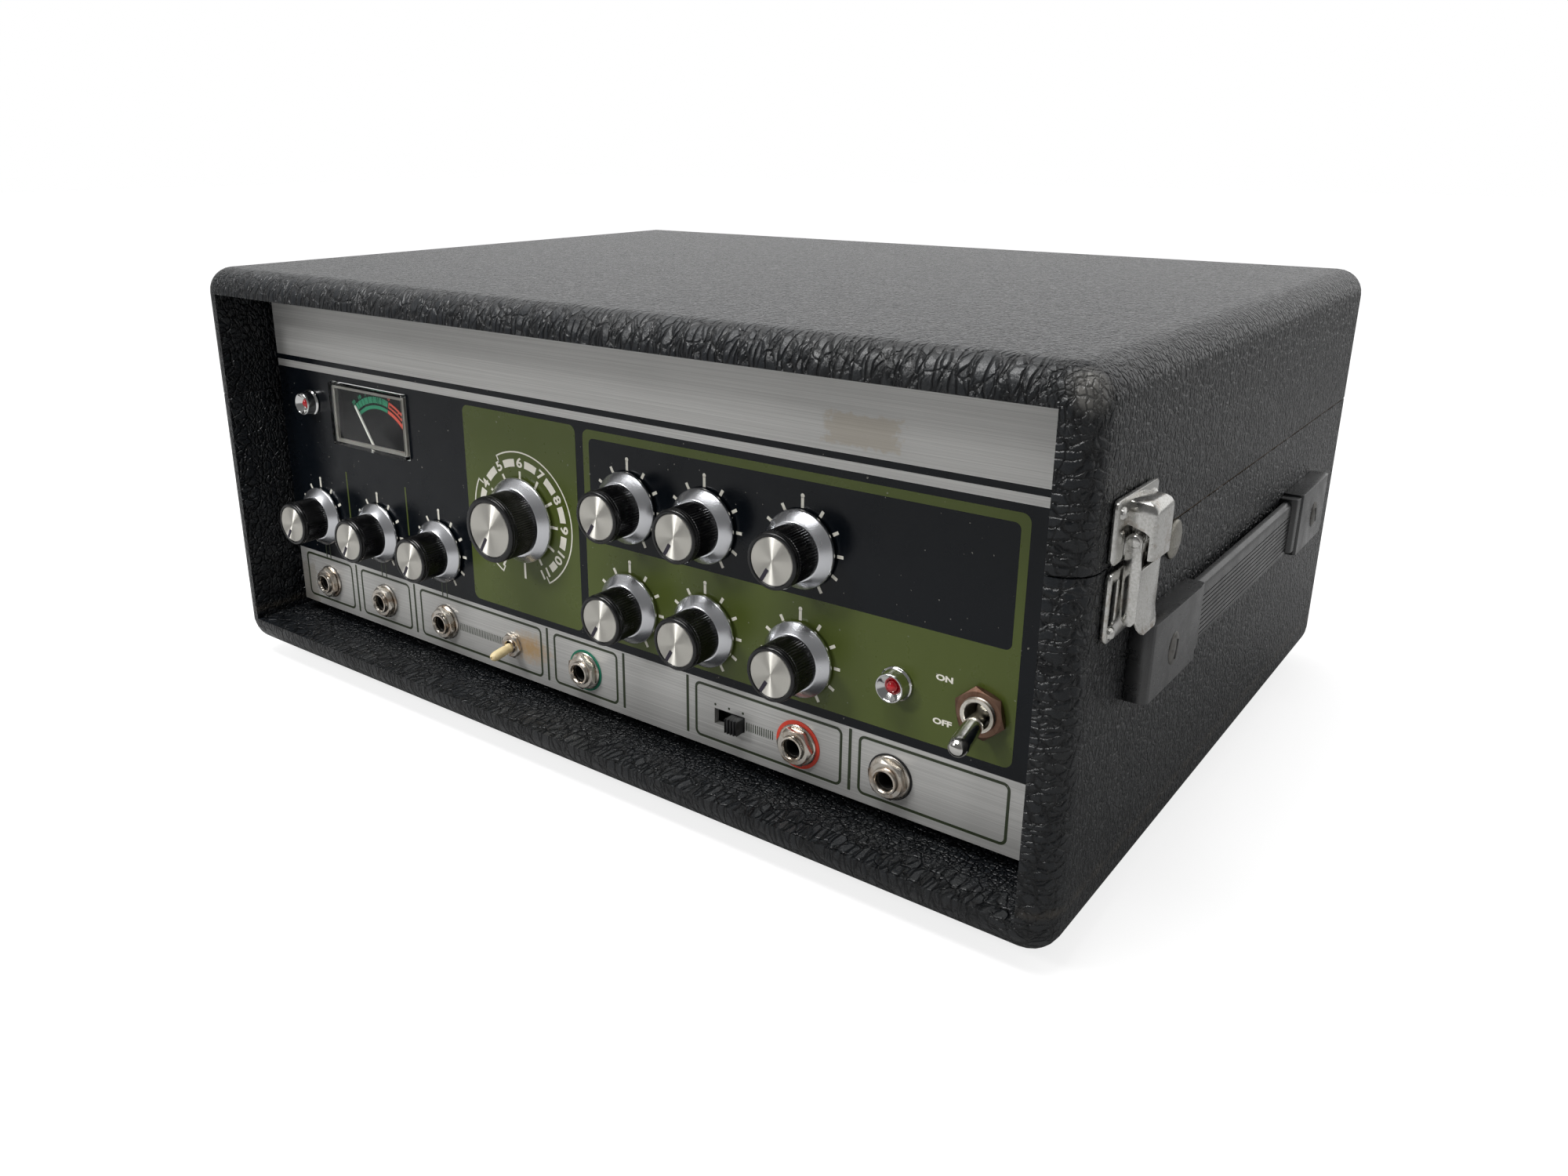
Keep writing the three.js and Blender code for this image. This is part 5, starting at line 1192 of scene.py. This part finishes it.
def channel_ring(half, out, row, back, thickness, bend):
    """One level of a folded channel: out, along and back, then the same again on the inside."""
    points = []
    for inset, order in ((0, 1), (thickness, -1)):
        x, top, radius = half - inset, out - inset, max(bend - inset, 0.15)
        line = [(-x, back)]
        for start, middle in ((180, -x + radius), (90, x - radius)):
            line += [spoke(middle, top - radius, radius, math.radians(start - 22.5 * step))
                     for step in range(5)]
        line.append((x, back))
        points += line[::order]
    return [(x, row, out) for x, out in points]


def latch_plate(bm, low, high, rivets, place, *holes):
    """A flat plate against the case with its rivets."""
    slope_block(bm, [round_box(-plate_half, plate_half, low, high, plate_round, 4), *holes],
                plate_low, plate_high, place, 0.4, 2)
    for x, z in rivets:
        turned(bm, rivet, at(place, x, z), 20)


latch_chrome = pitted_metal("latch_chrome", (0.72, 0.715, 0.69), (0.36, 0.35, 0.32), (0.24, 0.16, 0.09), 0.16)
for side, place in (("right", at(RIGHT, latch_y, 0)), ("left", at(LEFT, -latch_y, 0))):
    # Turned so that an outline's axes are out and up, and its thickness is along the case
    stand = place @ Matrix(((0, 0, 1, 0), (0, 1, 0, 0), (1, 0, 0, 0), (0, 0, 0, 1)))
    across = at(place, 0, hinge_row, hinge_out) @ Matrix.Rotation(math.radians(90), 4, "Y")
    bm = bmesh.new()
    latch_plate(bm, *base_rows, base_rivets, place, round_box(*base_slot, 1.2, 3))
    slope_block(bm, [box(2.6, 4.2, 113.5, hinge_row)], -3, 3, stand, 0.25, 2)
    slope_block(bm, [box(1.5, 4.0, 112.5, 116.5)], -3.6, 3.6, stand, 0.3, 2)
    turned(bm, eased([(0, -3.2), (1.8, -3.2), (1.8, 3.2), (0, 3.2)], 0.3, 2), across, 24)
    turned(bm, eased([(0, -9.0), (1.5, -9.0), (1.9, -8.6), (1.9, -8.35), (pin_radius, -8.3),
                      (pin_radius, 8.3), (1.9, 8.35), (1.9, 8.6), (1.5, 9.0), (0, 9.0)], 0.15, 1), across, 24)
    make_piece(f"latch_base_plate_{side}", bm, latch_chrome, "latch_base_" + side)

    # The lever is one formed channel: a face that narrows to a curled round tab, and two side walls
    bm = bmesh.new()
    slope_block(bm, [lever_line], -lever_half + 0.5, lever_half - 0.5, stand, 0.3, 2)
    level = stand.inverted()
    for vertex in bm.verts:
        out, row, along = level @ vertex.co
        if row < tab_row:
            drop = (tab_row - row) / 4.2
            vertex.co = stand @ Vector((out, row, along * (1 - 0.5 * drop ** 2.2)))
    for low in (-lever_half, lever_half - lever_sheet):
        slope_block(bm, [wall_line], low, low + lever_sheet, stand, 0.28, 2)
    make_piece(f"latch_lever_channel_{side}", bm, latch_chrome, "latch_lever_" + side,
               "latch_lever_" + side, 35)

    bm = bmesh.new()
    latch_plate(bm, *keeper_rows, keeper_rivets, place)
    skin(bm, [channel_ring(hood_half, hood_out, row, back, hood_sheet, hood_bend) for row, back in cheek],
         place, capped=True)
    top = [(row, round_box(inset - hood_half, hood_half - inset, 0.6, hood_out - drop, hood_bend, 4))
           for row, inset, drop in hood_crown]
    skin(bm, [[(x, row, out) for x, out in outline] for row, outline in top], place, capped=True)
    make_piece(f"latch_keeper_hood_{side}", bm, latch_chrome, "latch_keeper_" + side, "lid", 35)

# Strap stud
# A low domed metal stud beside the right latch, dulled and pitted.
stud_place, stud_radius, stud_rise, stud_edge = (-84, 115.5), 6.3, 1.6, 0.5
stud_finish = pitted_metal("stud_metal", (0.36, 0.345, 0.30), (0.11, 0.105, 0.09), (0.12, 0.09, 0.06), 0.3)
quarter = [math.radians(90 * step / 8) for step in range(1, 8)]
dome = [(stud_radius * math.cos(angle), stud_edge + (stud_rise - stud_edge) * math.sin(angle))
        for angle in quarter]
bm = bmesh.new()
turned(bm, [(0, 0.02), (stud_radius, 0.02), (stud_radius, stud_edge), *dome, (0, stud_rise)],
       at(RIGHT, *stud_place), 40)
make_piece("strap_stud", bm, stud_finish, smooth=45)

# Feet
# Black rubber buttons with a rounded edge and a screw hole, under the corners.
foot_inset = 30
foot_profile = [(0, 1.8), (2.6, 1.8), (2.6, 0.6), (3.2, 0), (8.6, 0), (10.2, 0.5), (10.9, 1.8), (11, 6.7),
                (0, 6.7)]
rubber_finish = moulded_plastic("foot_rubber", (0.018, 0.018, 0.018), 0.75, 0.00004, 900)
for end, y in (("front", front_y + foot_inset), ("rear", back_y - foot_inset)):
    for side, x in (("left", foot_inset - case_width / 2), ("right", case_width / 2 - foot_inset)):
        bm = bmesh.new()
        turned(bm, eased(foot_profile, 0.5, 2), Matrix.Translation((x, y, 0)), 40)
        make_piece(f"rubber_foot_{end}_{side}", bm, rubber_finish, f"foot_{end}_{side}", smooth=35)

# Rear panel
# A satin steel sheet behind the opening, with vent slots, eight screws and the cord's rubber gland.
rear_out = -16.3
screw_columns, screw_rows = (-140, -47, 47, 140), (45.5, 99.5)
gland_place = (-118, 62)
rear_screw = eased([(0, 0), (3.2, 0), (3.2, 0.5), (2.4, 1.4), (1.2, 1.8), (0, 1.85)], 0.2, 2)
gland = eased([(3.6, -4.0), (8, -4.0), (8, 0.35), (11, 0.35), (11, 2.6), (8.2, 2.9), (7.6, 5.2), (7.2, 5.5),
               (7.2, 6.3), (7.0, 6.7), (7.0, 7.6), (6.7, 8.0), (6.6, 8.9), (6.2, 9.3), (6.0, 11.4),
               (5.4, 11.9), (3.9, 11.9), (3.6, 11.5), (3.6, -4.0)], 0.3, 2)
refinish("rear_panel", brushed_metal("rear_steel", (0.42, 0.42, 0.42), 0.42))
bm, crosses = bmesh.new(), bmesh.new()
for x in screw_columns:
    for z in screw_rows:
        seat = at(REAR, x, z, rear_out)
        turned(bm, rear_screw, seat, 28)
        # The crosses are near-black marks laid on each head: painted shade, not cut recesses
        for turn in (20, 110):
            sheet(crosses, [bar(0, 0, 3.0, 0.6, turn)], 1.45, 1.88, seat)
make_piece("rear_panel_screws", bm, nickel_finish, smooth=40)
make_piece("rear_screw_slot_shades", crosses, hollow_painted_shade)
bm = bmesh.new()
turned(bm, gland, at(REAR, *gland_place, rear_out), 48)
make_piece("cord_gland_boot", bm, rubber_finish, "cord_gland", smooth=35)

# Works
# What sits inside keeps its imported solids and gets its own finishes: zinc-plated steel, a brown
# board and a clear tape chamber, with the red-brown tape and a black belt.
zinc_finish = brushed_metal("zinc_plate", (0.52, 0.51, 0.47), 0.4, (300, 2, 300))
head_finish = brushed_metal("head_metal", (0.62, 0.62, 0.60), 0.28)
board_finish = moulded_plastic("circuit_board", (0.10, 0.075, 0.03), 0.45, 0.00003, 600)
tape_finish = moulded_plastic("recording_tape", (0.055, 0.026, 0.015), 0.3)
motor_finish = brushed_metal("motor_can", (0.36, 0.37, 0.38), 0.35, (600, 600, 2))
brass_finish = polished_metal("pulley_brass", (0.62, 0.47, 0.2), 0.28)
works = {
    zinc_finish: ("chassis_tray", "deck_plate", "pinch_arm", "spring_tank", "power_transformer"),
    head_finish: ("head_block",), board_finish: ("control_board", "main_board"),
    tape_finish: ("tape_loop",), motor_finish: ("capstan_motor", "capstan_flywheel"),
    brass_finish: ("motor_pulley",), rubber_finish: ("drive_belt", "pinch_roller"),
    cover_finish: ("tape_chamber",), switch_black: ("slide_switch_body",),
}
for finish, nodes in works.items():
    for node in nodes:
        refinish(node, finish)
